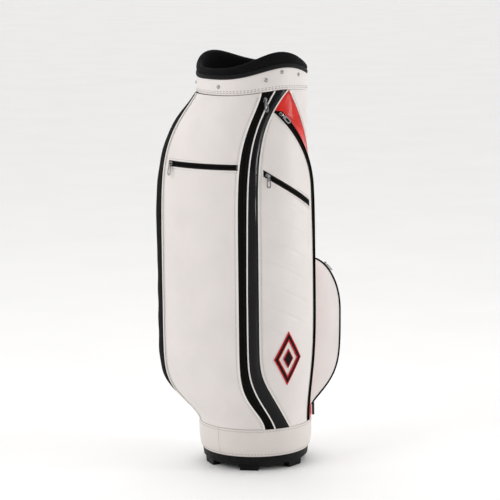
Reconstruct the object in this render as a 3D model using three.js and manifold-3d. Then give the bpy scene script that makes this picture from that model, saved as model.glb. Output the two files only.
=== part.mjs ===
// Golf staff bag: a rigid club tube on a moulded base, covered with padded leather panels and pockets.
// Millimetres, +Z up. The origin is the centre of the base, on the ground. The front faces -Y, the big
// garment pocket is on the left (-X) and the ball pocket on the right (+X).
import * as THREE from "three";
import { mergeVertices } from "three/addons/utils/BufferGeometryUtils.js";
import Module from "manifold-3d";

const wasm = await Module();
wasm.setup();

// ---- driving dimensions ----
const GAP = 0.3; // between neighbouring pieces
const SEAM = 0.25; // each panel stops this far short of the line that it shares with the next
const PANEL = 3; // thickness of a leather panel
const FOOT_HEIGHT = 12;
const CUP_FLOOR = 8; // thickness of the moulded base's floor
const BAND_BOTTOM = 32; // white base band
const BAND_HEIGHT = 61;
const BODY_HEIGHT = 713; // covered body, from the base band to the collar's seam at the sides
const COLLAR_DIP = 11; // how far that seam rises at the front
const COLLAR_HEIGHT = 33; // from the seam to the black rim, at the sides
const RIM_LOW_RISE = 24; // rise of the rim's lower edge at the front and back
const RIM_HEIGHT = 22; // at the sides
const RIM_TOP_RISE = 35;
const BINDING = 9; // height of the binding under the rim
const TUBE_R = 108; // inside radius of the club tube
const TUBE_WALL = 2.5;
const HOOP_WALL = 3; // stiffening hoop behind the collar
const PANEL_STEP = 0.9; // how far the panels stand out past the collar
const FLARE = 4.5; // the body is this much wider at the base band than at the collar
const CORNER_DEPTH = 45.6; // how far the left pocket's front corner stands out from the body
const CORNER = { ends: -27.6, middle: -48.6 }; // its angle at both ends and at half height
const POCKET_DEPTH = 82.5; // how far the pocket's rear corner stands out from the body
const POCKET_MID_DEPTH = 52; // and the middle of its face
const REAR_CORNER = -111.5; // angle of its rear corner
const REAR_END = -156; // angle where its rear gusset meets the body
const FRONT_BULGE = 18; // how far the front pocket stands out
const ZIP_WIDTH = 13;
const FRONT_ZIP_WIDTH = 11.5;
const BALL_OUT = 50; // how far the ball pocket stands out from the body
const BALL_INSET = 30; // its half width is this much less than the body's radius
const BALL_CLEAR = 30; // height of its bottom above the base band
const BALL_HEIGHT = 324;

// ---- sizes that follow ----
const BAND_TOP = BAND_BOTTOM + BAND_HEIGHT;
const BODY_TOP = BAND_TOP + BODY_HEIGHT;
const RIM_LOW = BODY_TOP + COLLAR_HEIGHT;
const RIM_TOP = RIM_LOW + RIM_HEIGHT;
const COLLAR_R = TUBE_R + TUBE_WALL + HOOP_WALL + PANEL + 2 * GAP;
const BODY_R_TOP = COLLAR_R + PANEL_STEP;
const BODY_R_LOW = BODY_R_TOP + FLARE;
const CORNER_R = BODY_R_TOP + CORNER_DEPTH;
const POCKET_BACK_R = BODY_R_TOP + POCKET_DEPTH;
const POCKET_MID_R = BODY_R_TOP + POCKET_MID_DEPTH;
const BALL_DEPTH = BODY_R_TOP + BALL_OUT;
const BALL_HALF_WIDTH = BODY_R_TOP - BALL_INSET;
const BALL_BOTTOM = BAND_TOP + BALL_CLEAR;
const BALL_TOP = BALL_BOTTOM + BALL_HEIGHT;

const PLATE = 2.6; // thickness of a zip slider
const PULL_LENGTH = 26;

const COLORS = {
  white: [0xe6e1dc, 0.45, 0],
  offWhite: [0xd8cfc8, 0.5, 0],
  black: [0x141211, 0.6, 0],
  patent: [0x101012, 0.12, 0],
  red: [0xd62d28, 0.2, 0],
  mesh: [0x1a1a1c, 0.9, 0],
  grey: [0x4a4a4c, 0.8, 0],
  plastic: [0x121213, 0.5, 0],
  foam: [0x303033, 0.95, 0],
  chrome: [0xd4d6da, 0.15, 1],
};

const bag = new THREE.Group();

// ---- helpers ----
const { sin, cos, atan, sqrt, abs, exp, log, max, min, round, PI } = Math;
const rad = THREE.MathUtils.degToRad;
const deg = THREE.MathUtils.radToDeg;
const mix = THREE.MathUtils.lerp;

// Angles run from the front (-Y) towards +X.
function polar(radius, degrees, z) {
  const a = rad(degrees);
  return new THREE.Vector3(radius * sin(a), -radius * cos(a), z);
}

function add(name, geometry, finish) {
  const [color, roughness, metalness] = COLORS[finish];
  const material = new THREE.MeshStandardMaterial({ color, roughness, metalness });
  const mesh = new THREE.Mesh(geometry, material);
  mesh.name = name;
  bag.add(mesh);
  return mesh;
}

function solid(geometry) {
  const plain = geometry.clone();
  plain.deleteAttribute("normal");
  plain.deleteAttribute("uv");
  const merged = mergeVertices(plain, 1e-4);
  return new wasm.Manifold(
    new wasm.Mesh({
      numProp: 3,
      vertProperties: new Float32Array(merged.attributes.position.array),
      triVerts: new Uint32Array(merged.index.array),
    }),
  );
}

function geometryOf(body) {
  const mesh = body.getMesh();
  const geometry = new THREE.BufferGeometry();
  geometry.setAttribute("position", new THREE.BufferAttribute(mesh.vertProperties, 3));
  geometry.setIndex(new THREE.BufferAttribute(mesh.triVerts, 1));
  return geometry;
}

// A closed sheet between two equal grids of points, outer and inner, of columns by rows cells.
function sheetBetween(outer, inner, columns, rows) {
  const index = [];
  const at = (i, j) => j * (columns + 1) + i;
  const back = outer.length;
  const quad = (a, b, c, d) => index.push(a, b, c, a, c, d);
  for (let j = 0; j < rows; j++) {
    for (let i = 0; i < columns; i++) {
      quad(at(i, j), at(i + 1, j), at(i + 1, j + 1), at(i, j + 1));
      quad(back + at(i, j), back + at(i, j + 1), back + at(i + 1, j + 1), back + at(i + 1, j));
    }
    quad(back + at(0, j), at(0, j), at(0, j + 1), back + at(0, j + 1));
    quad(at(columns, j), back + at(columns, j), back + at(columns, j + 1), at(columns, j + 1));
  }
  for (let i = 0; i < columns; i++) {
    quad(back + at(i, 0), back + at(i + 1, 0), at(i + 1, 0), at(i, 0));
    quad(at(i, rows), at(i + 1, rows), back + at(i + 1, rows), back + at(i, rows));
  }
  const geometry = new THREE.BufferGeometry().setFromPoints([...outer, ...inner]);
  geometry.setIndex(index);
  return geometry;
}

// A sheet on the body: place(u, j) gives the angle and height of a grid point, radius(angle, z) its
// distance from the axis. Its back lies "wall" nearer the axis.
function sheet({ place, radius, columns, rows, wall = PANEL, lift = 0 }) {
  const outer = [];
  const inner = [];
  for (let j = 0; j <= rows; j++) {
    for (let i = 0; i <= columns; i++) {
      const [angle, z] = place(i / columns, j);
      const r = radius(angle, z) + lift;
      outer.push(polar(r, angle, z));
      inner.push(polar(r - wall, angle, z));
    }
  }
  return sheetBetween(outer, inner, columns, rows);
}

// A ring whose section(angle) is a closed list of [radius, z], rising on its outer side.
function ring(section, steps) {
  const count = section(0).length;
  const points = [];
  const index = [];
  for (let i = 0; i < steps; i++) {
    const angle = (360 * i) / steps;
    for (const [r, z] of section(angle)) points.push(polar(r, angle, z));
    for (let j = 0; j < count; j++) {
      const a = i * count + j;
      const b = i * count + ((j + 1) % count);
      const c = ((i + 1) % steps) * count + ((j + 1) % count);
      const d = ((i + 1) % steps) * count + j;
      index.push(a, d, c, a, c, b);
    }
  }
  const geometry = new THREE.BufferGeometry().setFromPoints(points);
  geometry.setIndex(index);
  return geometry;
}

// A solid of revolution about the bag's axis from [radius, z] points that rise on the outer side.
function lathe(points, steps = 48) {
  const profile = points.map(([r, z]) => new THREE.Vector2(r, z));
  return new THREE.LatheGeometry(profile, steps).rotateX(PI / 2);
}

function box(x0, x1, y0, y1, z0, z1) {
  const geometry = new THREE.BoxGeometry(x1 - x0, y1 - y0, z1 - z0);
  return geometry.translate((x0 + x1) / 2, (y0 + y1) / 2, (z0 + z1) / 2);
}

// ---- the outer surface ----
const bodyRadius = (z) => mix(BODY_R_LOW, BODY_R_TOP, (z - BAND_TOP) / (BODY_TOP - BAND_TOP));
const frontness = (angle) => max(0, cos(rad(angle))) ** 4;
const endness = (angle) => cos(rad(angle)) ** 4;
const FRONT_CREST = -4; // angles where the rim is highest
const REAR_CREST = 193;
const collarSeam = (angle) => BODY_TOP + COLLAR_DIP * frontness(angle);
const rimLow = (angle) => RIM_LOW + RIM_LOW_RISE * endness(angle);
function rimTop(angle) {
  const front = frontness(angle - FRONT_CREST);
  const rear = frontness(angle - REAR_CREST);
  return RIM_TOP + RIM_TOP_RISE * (front + 0.8 * rear);
}

// Fullness of a pocket from 0 at its two ends to 1: "rise" is the length over which it fills out.
const fullAbove = (z, rise, power) => 1 - exp(-((max(0, z - BAND_TOP) / rise) ** power));
const fullBelow = (z, rise, power) => 1 - exp(-((max(0, BODY_TOP + 8 - z) / rise) ** power));
const cornerFull = (z) => fullBelow(z, 95, 1.4) * fullAbove(z, 67, 1.7);
const rearFull = (z) => fullBelow(z, 85, 1.4) * fullAbove(z, 67, 1.8);
const frontFull = (z) => fullBelow(z, 150, 2.6) * fullAbove(z, 122, 2);

// Edges between the panels, as angles at a height.
const cornerTurn = (z) => fullAbove(z, 60, 1.7) * (1 - exp(-((max(0, BODY_TOP - z) / 71.5) ** 1.36)));
const cornerAngle = (z) => mix(CORNER.ends, CORNER.middle, cornerTurn(z));
const cornerRadius = (z) => mix(bodyRadius(z), CORNER_R, cornerFull(z));
const POCKET_MIDDLE = BAND_TOP + 0.51122 * BODY_HEIGHT;
// Left edge of the front pocket: upright in the middle, it curves off above a height and bends
// into a straight slant below another.
const LEAF = { angle: -31.9, up: 40, power: 5.6, slope: 0.28, bend: 10 };
const LEAF_BEND = BAND_TOP + 0.163 * BODY_HEIGHT;
function frontLeft(z) {
  const share = max(0, z - POCKET_MIDDLE) / (BODY_HEIGHT / 2);
  const low = LEAF.slope * LEAF.bend * log(1 + exp((LEAF_BEND - z) / LEAF.bend));
  return LEAF.angle + LEAF.up * share ** LEAF.power + low;
}
const SPLIT = { low: 0.39, high: 0.49, from: 0.43 }; // share of the black band in the two dark bands
function splitShare(z) {
  const up = ((z - BAND_TOP) / BODY_HEIGHT - SPLIT.from) / (1 - SPLIT.from);
  return mix(SPLIT.low, SPLIT.high, max(0, min(1, up)));
}
const stripeSplit = (z) => mix(cornerAngle(z), frontLeft(z), splitShare(z));
const ZIP_TURN = BODY_TOP - 201; // height where the front zip starts to lean over
const LEAN = { from: 30, degrees: 35.9, over: 141, power: 1.83 };
const leanShare = (z) => max(0, z - ZIP_TURN) / LEAN.over;
const frontRight = (z) => LEAN.from - LEAN.degrees * leanShare(z) ** LEAN.power;
const zipLean = (z) => ((LEAN.degrees * LEAN.power) / LEAN.over) * leanShare(z) ** (LEAN.power - 1);
const degreesOf = (length, z) => deg(length / (bodyRadius(z) + FRONT_BULGE * frontFull(z)));
const zipEdge = (z) => frontRight(z) + degreesOf(FRONT_ZIP_WIDTH, z) * sqrt(1 + (zipLean(z) * 2.1) ** 2);
const RED = { angle: 56.5, turn: 166, slope: 0.31 }; // right edge of the red gusset
const redEdge = (z) => RED.angle - RED.slope * max(0, z - BODY_TOP + RED.turn);
const bandLeft = (z) => max(frontRight(z), frontLeft(z));
// Above the tip of the front pocket the zip band has ended.
const bandRight = (z) => (frontRight(z) > frontLeft(z) ? zipEdge(z) : frontLeft(z) + 1.6);

// Radius of the straight line in plan between two corners, seen from the axis.
function chordRadius(angle, a1, r1, a2, r2) {
  const s = (d) => sin(rad(d));
  return (r1 * r2 * s(a2 - a1)) / (r1 * s(angle - a1) + r2 * s(a2 - angle));
}

const frontRadius = (angle, z) => bodyRadius(z) + FRONT_BULGE * frontFull(z);

const stripeRadius = (angle, z) =>
  max(
    bodyRadius(z),
    chordRadius(angle, cornerAngle(z), cornerRadius(z), frontLeft(z), frontRadius(0, z)),
  );

// Circle in plan through three corners; gives its centre and radius.
function circleThrough(a, b, c) {
  const d = 2 * (a.x * (b.y - c.y) + b.x * (c.y - a.y) + c.x * (a.y - b.y));
  const sq = (p) => p.x * p.x + p.y * p.y;
  const x = (sq(a) * (b.y - c.y) + sq(b) * (c.y - a.y) + sq(c) * (a.y - b.y)) / d;
  const y = (sq(a) * (c.x - b.x) + sq(b) * (a.x - c.x) + sq(c) * (b.x - a.x)) / d;
  return { x, y, radius: sqrt((a.x - x) ** 2 + (a.y - y) ** 2) };
}

// The left pocket's face is a circular arc in plan at every height.
function faceArc(z) {
  const full = rearFull(z);
  const backR = mix(bodyRadius(z), POCKET_BACK_R, full);
  const midR = mix(bodyRadius(z), POCKET_MID_R, full);
  const front = polar(cornerRadius(z), cornerAngle(z), z);
  const middle = polar(midR, (cornerAngle(z) + REAR_CORNER) / 2, z);
  return circleThrough(front, middle, polar(backR, REAR_CORNER, z));
}

function faceRadius(angle, z) {
  const arc = faceArc(z);
  const ray = polar(1, angle, z);
  const along = ray.x * arc.x + ray.y * arc.y;
  const off = arc.x ** 2 + arc.y ** 2 - along ** 2;
  return along + sqrt(arc.radius ** 2 - off);
}

// The rear gusset rounds the pocket's back corner and runs in to the body.
const REAR_SHAPE = [
  [0, 1],
  [0.12, 1.055],
  [0.27, 1.085],
  [0.45, 0.84],
  [0.7, 0.35],
  [1, 0],
];
const rearCurve = new THREE.SplineCurve(REAR_SHAPE.map(([u, v]) => new THREE.Vector2(u, v)));

function rearShape(u) {
  let low = 0;
  let high = 1;
  for (let k = 0; k < 30; k++) {
    const middle = (low + high) / 2;
    if (rearCurve.getPoint(middle).x < u) low = middle;
    else high = middle;
  }
  return rearCurve.getPoint(low).y;
}

function rearRadius(angle, z) {
  const u = (angle - REAR_CORNER) / (REAR_END - REAR_CORNER);
  return bodyRadius(z) + (POCKET_BACK_R - bodyRadius(z)) * rearFull(z) * max(0, rearShape(u));
}

const plainRadius = (angle, z) => bodyRadius(z);

const redRadius = (angle, z) =>
  max(
    bodyRadius(z),
    chordRadius(angle, bandRight(z), frontRadius(0, z), redEdge(z), bodyRadius(z)),
  );

// ---- panels between two edges ----
const ROWS = 2 * round(BODY_HEIGHT / 65); // a taller body has more rows, as long as before
const BODY_LOW = BAND_TOP + GAP;
const nominal = (j) => mix(BODY_LOW, BODY_TOP, (1 - cos((PI * j) / ROWS)) / 2);

// Height of a level at an angle: the levels spread out to meet the collar's seam.
function heightAt(angle, z) {
  const share = (z - BODY_LOW) / (BODY_TOP - BODY_LOW);
  return mix(BODY_LOW, collarSeam(angle) - GAP, share);
}

function rowsWhere(test) {
  const rows = [];
  for (let j = 0; j <= ROWS; j++) if (test(nominal(j))) rows.push(j);
  return [rows[0], rows[rows.length - 1]];
}

function panel(options) {
  const { left, right, radius, columns, lift = 0, wall = PANEL, inset = SEAM } = options;
  const [first, last] = options.rows ?? [0, ROWS];
  const place = (u, j) => {
    const z = nominal(first + j);
    const edge = deg(inset / bodyRadius(z));
    const angle = mix(left(z) + edge, right(z) - edge, u);
    return [angle, heightAt(angle, z)];
  };
  const atLevel = (angle, z) => radius(angle, z);
  return sheet({ place, radius: atLevel, columns, rows: last - first, wall, lift });
}

// A patch between two angles whose lower and upper edges are heights at each angle.
function patch({ from, to, low, high, radius, columns, rows = 1, wall = PANEL, lift = 0 }) {
  const place = (u, j) => {
    const angle = mix(from, to, u);
    return [angle, mix(low(angle), high(angle), j / rows)];
  };
  return sheet({ place, radius, columns, rows, wall, lift });
}

// ---- base ----
const CUP_IN = TUBE_R + TUBE_WALL + GAP;
const CUP_WALL = 2.6;
const TUBE_LOW = FOOT_HEIGHT + CUP_FLOOR + GAP;

const LUG = { count: 6, turn: 15.5, width: 38, taper: 3, depth: 16 };
const PAD_R = 30; // pad in the middle of the base

function baseCup() {
  const floor = FOOT_HEIGHT + CUP_FLOOR;
  const out = CUP_IN + CUP_WALL;
  let cup = solid(
    lathe([
      [0, FOOT_HEIGHT],
      [out - 4, FOOT_HEIGHT],
      [out, FOOT_HEIGHT + 4],
      [out + 1.8, BAND_BOTTOM],
      [out, BAND_BOTTOM],
      [out, BAND_TOP - 3],
      [CUP_IN, BAND_TOP - 3],
      [CUP_IN, floor],
      [0, floor],
    ]),
  );
  const { count, turn, width, taper, depth } = LUG;
  const lug = new THREE.Shape();
  lug.moveTo(-width / 2 - taper, 0);
  lug.lineTo(-width / 2, -FOOT_HEIGHT - 1);
  lug.lineTo(width / 2, -FOOT_HEIGHT - 1);
  lug.lineTo(width / 2 + taper, 0);
  for (let k = 0; k < count; k++) {
    const foot = new THREE.ExtrudeGeometry(lug, { depth, bevelEnabled: false });
    foot.rotateX(PI / 2).translate(0, depth - TUBE_R, FOOT_HEIGHT + 1);
    foot.rotateZ(rad(turn + (360 * k) / count));
    cup = cup.add(solid(foot));
  }
  const pad = new THREE.CylinderGeometry(PAD_R, PAD_R, FOOT_HEIGHT + 1, 24);
  pad.rotateX(PI / 2).translate(0, 0, (FOOT_HEIGHT + 1) / 2);
  return geometryOf(cup.add(solid(pad)));
}
add("base_cup", baseCup(), "plastic");

const bandIn = CUP_IN + CUP_WALL + GAP;
add(
  "base_band",
  lathe([
    [bandIn, BAND_BOTTOM + GAP],
    [bandIn + 2.6, BAND_BOTTOM + GAP],
    [BODY_R_LOW - 1.5, BAND_BOTTOM + 14],
    [BODY_R_LOW, BAND_BOTTOM + 28],
    [BODY_R_LOW, BAND_TOP - GAP],
    [bandIn, BAND_TOP - GAP],
    [bandIn, BAND_BOTTOM + GAP],
  ]),
  "offWhite",
);

// ---- club tube, its padding and the partitions ----
const TUBE_TOP = RIM_LOW - 1;
const tubeOut = TUBE_R + TUBE_WALL;
const ringWall = (inside, outside, low, high) =>
  lathe([
    [inside, low],
    [outside, low],
    [outside, high],
    [inside, high],
    [inside, low],
  ]);
add("club_tube", ringWall(TUBE_R, tubeOut, TUBE_LOW, TUBE_TOP), "plastic");

const PADDING_PLAY = 1.1; // padding to panels, whose flats reach inwards between their columns
const stiffLow = BODY_TOP - 2;
add(
  "body_padding",
  lathe([
    [tubeOut + GAP, BODY_LOW],
    [bodyRadius(BODY_LOW) - PANEL - PADDING_PLAY, BODY_LOW],
    [bodyRadius(stiffLow) - PANEL - PADDING_PLAY, stiffLow - GAP],
    [tubeOut + GAP, stiffLow - GAP],
    [tubeOut + GAP, BODY_LOW],
  ]),
  "foam",
);
const stiffOut = tubeOut + GAP + HOOP_WALL;
add("collar_hoop", ringWall(tubeOut + GAP, stiffOut, stiffLow, TUBE_TOP), "plastic");

const FRAME_LOW = RIM_LOW - 27;
const FRAME_TOP = RIM_LOW - 5;
const ROW_Y = 38; // the two cross bars stand this far before and behind the middle
const BAR = 9;

function dividerFrame() {
  const out = TUBE_R - GAP;
  const barTop = FRAME_TOP - 2;
  const inside = sqrt((out - 3) ** 2 - ROW_Y ** 2);
  let frame = solid(ringWall(out - 6, out, FRAME_LOW, FRAME_TOP));
  frame = frame.add(solid(box(-BAR / 2, BAR / 2, 3 - out, out - 3, FRAME_LOW, barTop)));
  for (const y of [-ROW_Y, ROW_Y]) {
    frame = frame.add(solid(box(-inside, inside, y - BAR / 2, y + BAR / 2, FRAME_LOW, barTop)));
  }
  return geometryOf(frame);
}
add("divider_frame", dividerFrame(), "plastic");

const CLOTH = 1.6;
const dividerTop = FRAME_LOW - GAP;
const dividerEnd = TUBE_R - 0.8;
add(
  "divider_center",
  box(-CLOTH / 2, CLOTH / 2, -dividerEnd, dividerEnd, TUBE_LOW, dividerTop),
  "mesh",
);
for (const [side, s] of [["left", -1], ["right", 1]]) {
  for (const [row, y] of [["front", -ROW_Y], ["rear", ROW_Y]]) {
    const near = s * (CLOTH / 2 + GAP);
    const far = s * (sqrt(dividerEnd ** 2 - (ROW_Y + CLOTH / 2) ** 2) - 0.2);
    const cloth = box(min(near, far), max(near, far), y - CLOTH / 2, y + CLOTH / 2, TUBE_LOW, dividerTop);
    add(`divider_${row}_${side}`, cloth, "mesh");
  }
}

// ---- collar and rim ----
const collarIn = stiffOut + GAP;
add(
  "collar_band",
  ring((angle) => {
    const low = collarSeam(angle) + GAP;
    const high = rimLow(angle) - GAP;
    return [
      [collarIn, low],
      [COLLAR_R, low],
      [COLLAR_R + 0.4, (low + high) / 2],
      [COLLAR_R, high],
      [collarIn, high],
    ];
  }, 48),
  "white",
);
add(
  "rim_binding",
  ring((angle) => {
    const low = rimLow(angle);
    return [
      [collarIn, low],
      [COLLAR_R, low],
      [COLLAR_R + 0.5, low + BINDING - GAP],
      [collarIn, low + BINDING - GAP],
    ];
  }, 48),
  "grey",
);
add(
  "rim_pad",
  ring((angle) => {
    const low = rimLow(angle) + BINDING;
    const top = rimTop(angle);
    const inner = collarIn - GAP - 0.1;
    const out = COLLAR_R + 0.3;
    return [
      [inner, TUBE_TOP + GAP],
      [inner, low],
      [out, low],
      [out + 0.6, low + 0.35 * (top - low)],
      [out - 1.6, mix(low, top, 0.75)],
      [inner + 1, top],
      [inner - 5, top - 0.4],
      [inner - 9, top - 5],
      [inner - 10, TUBE_TOP + GAP],
    ];
  }, 48),
  "mesh",
);

// ---- left garment pocket and the front panels ----
const leftFace = panel({
  left: () => REAR_CORNER,
  right: cornerAngle,
  radius: faceRadius,
  columns: 9,
});
const POCKET_ZIP_Z = BODY_TOP - 145;
const POCKET_ZIP = { from: -107.8, to: -48 };
const levelEdge = (z) => () => z;

// A zip let into a panel: the panel loses the slot, the tape fills it a little below the surface.
function letIn(panelGeometry, radius, zip) {
  const { from, to, middle, columns, half = ZIP_WIDTH / 2 } = zip;
  const slot = patch({
    from,
    to,
    low: (a) => middle(a) - half,
    high: (a) => middle(a) + half,
    radius,
    columns,
    wall: 12,
    lift: 6,
  });
  const edge = deg(GAP / bodyRadius(middle(from)));
  const tape = patch({
    from: from + edge,
    to: to - edge,
    low: (a) => middle(a) - half + GAP,
    high: (a) => middle(a) + half - GAP,
    radius,
    columns,
    wall: 1.8,
    lift: -0.6,
  });
  return [geometryOf(solid(panelGeometry).subtract(solid(slot))), tape];
}

const [leftPanel, pocketTape] = letIn(leftFace, faceRadius, {
  ...POCKET_ZIP,
  middle: levelEdge(POCKET_ZIP_Z),
  columns: 8,
});
add("left_pocket_face", leftPanel, "white");
add("pocket_zip_tape", pocketTape, "black");
add(
  "left_pocket_gusset",
  panel({ left: () => REAR_END, right: () => REAR_CORNER, radius: rearRadius, columns: 7 }),
  "black",
);
add(
  "left_zip_band",
  panel({ left: cornerAngle, right: stripeSplit, radius: stripeRadius, columns: 2 }),
  "black",
);
add(
  "gloss_stripe",
  panel({ left: stripeSplit, right: frontLeft, radius: stripeRadius, columns: 2 }),
  "patent",
);

const PIPING = 1.7; // half width of a piping
function piping(name, edge, radius, finish, rows) {
  const half = (z) => deg(PIPING / bodyRadius(z));
  const strip = panel({
    left: (z) => edge(z) - half(z),
    right: (z) => edge(z) + half(z),
    radius,
    columns: 2,
    wall: 1.6,
    lift: 2.6,
    inset: 0,
    rows,
  });
  add(name, strip, finish);
}
const outerRadius = (angle, z) => {
  if (angle < REAR_CORNER) return rearRadius(angle, z);
  if (angle < cornerAngle(z)) return faceRadius(angle, z);
  if (angle < frontLeft(z)) return stripeRadius(angle, z);
  return frontRadius(angle, z);
};
piping("piping_corner", cornerAngle, outerRadius, "white");
piping("piping_rear", () => REAR_CORNER, outerRadius, "white");
piping("piping_stripe", stripeSplit, outerRadius, "white");
piping("piping_front", frontLeft, outerRadius, "white");

const wide = (left, right, degrees) => (z) => right(z) - left(z) > degrees;
const SLANT = { from: -27, to: 24.5, drop: 74 };
const SLANT_Z = BODY_TOP - 160;
const SLANT_HALF = 7.6; // half its upright height
const slantMiddle = (a) => SLANT_Z - (SLANT.drop * max(0, a - SLANT.from)) / (SLANT.to - SLANT.from);
const frontFace = panel({
  left: frontLeft,
  right: frontRight,
  radius: frontRadius,
  columns: 7,
  rows: rowsWhere(wide(frontLeft, frontRight, 3)),
});
const [frontPanel, slantTape] = letIn(frontFace, frontRadius, {
  from: SLANT.from,
  to: SLANT.to,
  middle: slantMiddle,
  columns: 10,
  half: SLANT_HALF,
});
add("front_pocket_face", frontPanel, "white");
add("slant_zip_tape", slantTape, "black");
add(
  "front_zip_band",
  panel({
    left: bandLeft,
    right: bandRight,
    radius: frontRadius,
    columns: 4,
    inset: 2 * SEAM,
    wall: PANEL - GAP,
    rows: rowsWhere(wide(frontLeft, frontRight, 0)).map((row, k) => row + k),
  }),
  "black",
);
add(
  "red_gusset",
  panel({
    left: bandRight,
    right: redEdge,
    radius: redRadius,
    columns: 3,
    rows: rowsWhere(wide(bandRight, redEdge, 2)),
  }),
  "red",
);
const BACK_SEAM = 150;
add(
  "right_panel",
  panel({ left: redEdge, right: () => BACK_SEAM, radius: plainRadius, columns: 10 }),
  "white",
);
const seamDegrees = deg(SEAM / BODY_R_TOP);
add(
  "back_panel",
  patch({
    from: BACK_SEAM + seamDegrees,
    to: 360 + REAR_END - seamDegrees,
    low: () => BODY_LOW,
    high: (a) => collarSeam(a) - GAP,
    radius: plainRadius,
    columns: 6,
  }),
  "white",
);

// ---- emblem ----
const EMBLEM = { angle: -5, z: BAND_TOP + 154, width: 70, height: 118 };
const emblemHalf = deg(EMBLEM.width / 2 / (BODY_R_LOW + FRONT_BULGE));
function emblemEdge(a) {
  const across = (a - EMBLEM.angle) / emblemHalf;
  return (EMBLEM.height / 2) * sqrt(max(0.05, 1 - across ** 2));
}
add(
  "emblem_patch",
  patch({
    from: EMBLEM.angle - emblemHalf,
    to: EMBLEM.angle + emblemHalf,
    low: (a) => EMBLEM.z - emblemEdge(a),
    high: (a) => EMBLEM.z + emblemEdge(a),
    radius: frontRadius,
    columns: 14,
    rows: 4,
    wall: 1.2,
    lift: 1.9,
  }),
  "black",
);

// ---- ball pocket ----
function ballDepth(z) {
  const body = BODY_R_LOW * 0.72;
  const reach = BALL_DEPTH - body;
  const low = 1 - exp(-((max(0, z - BALL_BOTTOM) / 48) ** 1.4));
  const middle = BALL_TOP - 122;
  const high = z > middle ? max(0, 1 - ((z - middle) / (BALL_TOP - middle)) ** 2) ** 0.6 : 1;
  return body + reach * low * high;
}

function ballProfile(inset) {
  const low = BALL_BOTTOM + inset;
  const high = BALL_TOP - inset;
  const shape = new THREE.Shape();
  shape.moveTo(40, low);
  const steps = 14;
  for (let k = 0; k <= steps; k++) {
    const z = mix(low, high, (1 - cos((PI * k) / steps)) / 2);
    const spread = mix(BALL_BOTTOM, BALL_TOP, (z - low) / (high - low));
    shape.lineTo(ballDepth(spread) - inset, z);
  }
  shape.lineTo(40, high);
  return shape;
}

function ballBody(inset, halfWidth) {
  const settings = { depth: 2 * halfWidth, bevelEnabled: false };
  const body = new THREE.ExtrudeGeometry(ballProfile(inset), settings);
  return solid(body.rotateX(PI / 2).translate(0, halfWidth, 0));
}

const BALL_LIP = 10; // the face's return over the far side
const FAR = 300; // reach of a cutting block
{
  const wall = PANEL;
  const clearOfBody = solid(
    lathe([
      [0, 0],
      [BODY_R_LOW + 1, 0],
      [BODY_R_LOW + 1, BAND_TOP],
      [BODY_R_TOP + 1, BODY_TOP],
      [0, BODY_TOP],
    ], 72),
  );
  const clearOfRed = solid(
    panel({
      left: (z) => bandRight(z) - 1,
      right: (z) => redEdge(z) + 1,
      radius: redRadius,
      columns: 3,
      wall: 60,
      lift: 1,
      rows: rowsWhere(wide(bandRight, redEdge, 2)),
    }),
  );
  const shell = ballBody(0, BALL_HALF_WIDTH)
    .subtract(ballBody(wall, BALL_HALF_WIDTH - wall))
    .subtract(clearOfBody)
    .subtract(clearOfRed);
  const inner = BALL_HALF_WIDTH - wall - 0.2;
  const slab = (y0, y1) => solid(box(0, FAR, y0, y1, 0, BODY_TOP));
  const tapeEnd = ZIP_WIDTH - inner;
  const farZone = (g) => ballBody(BALL_LIP - g, FAR).intersect(slab(inner - g, FAR));
  const face = shell.intersect(slab(tapeEnd + GAP, FAR)).subtract(farZone(GAP));
  add("ball_pocket_face", geometryOf(face), "white");
  add("ball_zip_tape", geometryOf(shell.intersect(slab(GAP - inner, tapeEnd))), "black");
  add("ball_pocket_near_side", geometryOf(shell.intersect(slab(-FAR, -inner))), "white");
  add("ball_pocket_far_side", geometryOf(shell.intersect(farZone(0))), "white");
}

// ---- zip sliders and their pulls ----
const PLATE_WIDTH = 8;
const PLATE_HEIGHT = 11;
const BAIL = 3.4; // height of the bail's bar above the plate
const BAR_R = 0.9;
const EYE_R = 1.5; // the pull's eye turns on the bar

// Local axes of a fitting on the body: x across, y outwards and z up along the surface.
function frameAt(position, outwards) {
  const y = outwards.clone().normalize();
  const x = new THREE.Vector3(0, 0, 1).cross(y).normalize().negate();
  const z = x.clone().cross(y).normalize();
  return new THREE.Matrix4().makeBasis(x, y, z).setPosition(position);
}

function surfaceFrame(angle, z, radius, lift) {
  const at = (a, h) => polar(radius(a, h), a, h);
  const along = at(angle + 0.5, z).sub(at(angle - 0.5, z));
  const up = at(angle, z + 1).sub(at(angle, z - 1));
  const normal = along.cross(up).normalize();
  return frameAt(at(angle, z).addScaledVector(normal, lift), normal);
}

function sliderGeometry(turn) {
  const w = PLATE_WIDTH / 2;
  const h = PLATE_HEIGHT / 2;
  const outline = new THREE.Shape();
  outline.moveTo(-w * 0.6, -h);
  outline.lineTo(w * 0.6, -h);
  outline.lineTo(w, h * 0.3);
  outline.lineTo(w * 0.7, h);
  outline.lineTo(-w * 0.7, h);
  outline.lineTo(-w, h * 0.3);
  const plate = new THREE.ExtrudeGeometry(outline, { depth: PLATE, bevelEnabled: false });
  plate.rotateX(PI / 2).translate(0, PLATE, 0).rotateY(turn);
  let body = solid(plate);
  for (const s of [-1, 1]) {
    const post = box(min(s * 1.9, s * 3.1), max(s * 1.9, s * 3.1), PLATE - 0.5, PLATE + BAIL + 0.9, -1, 1);
    body = body.add(solid(post));
  }
  const bar = new THREE.CylinderGeometry(BAR_R, BAR_R, 5, 8).rotateZ(PI / 2);
  return geometryOf(body.add(solid(bar.translate(0, PLATE + BAIL, 0))));
}

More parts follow.
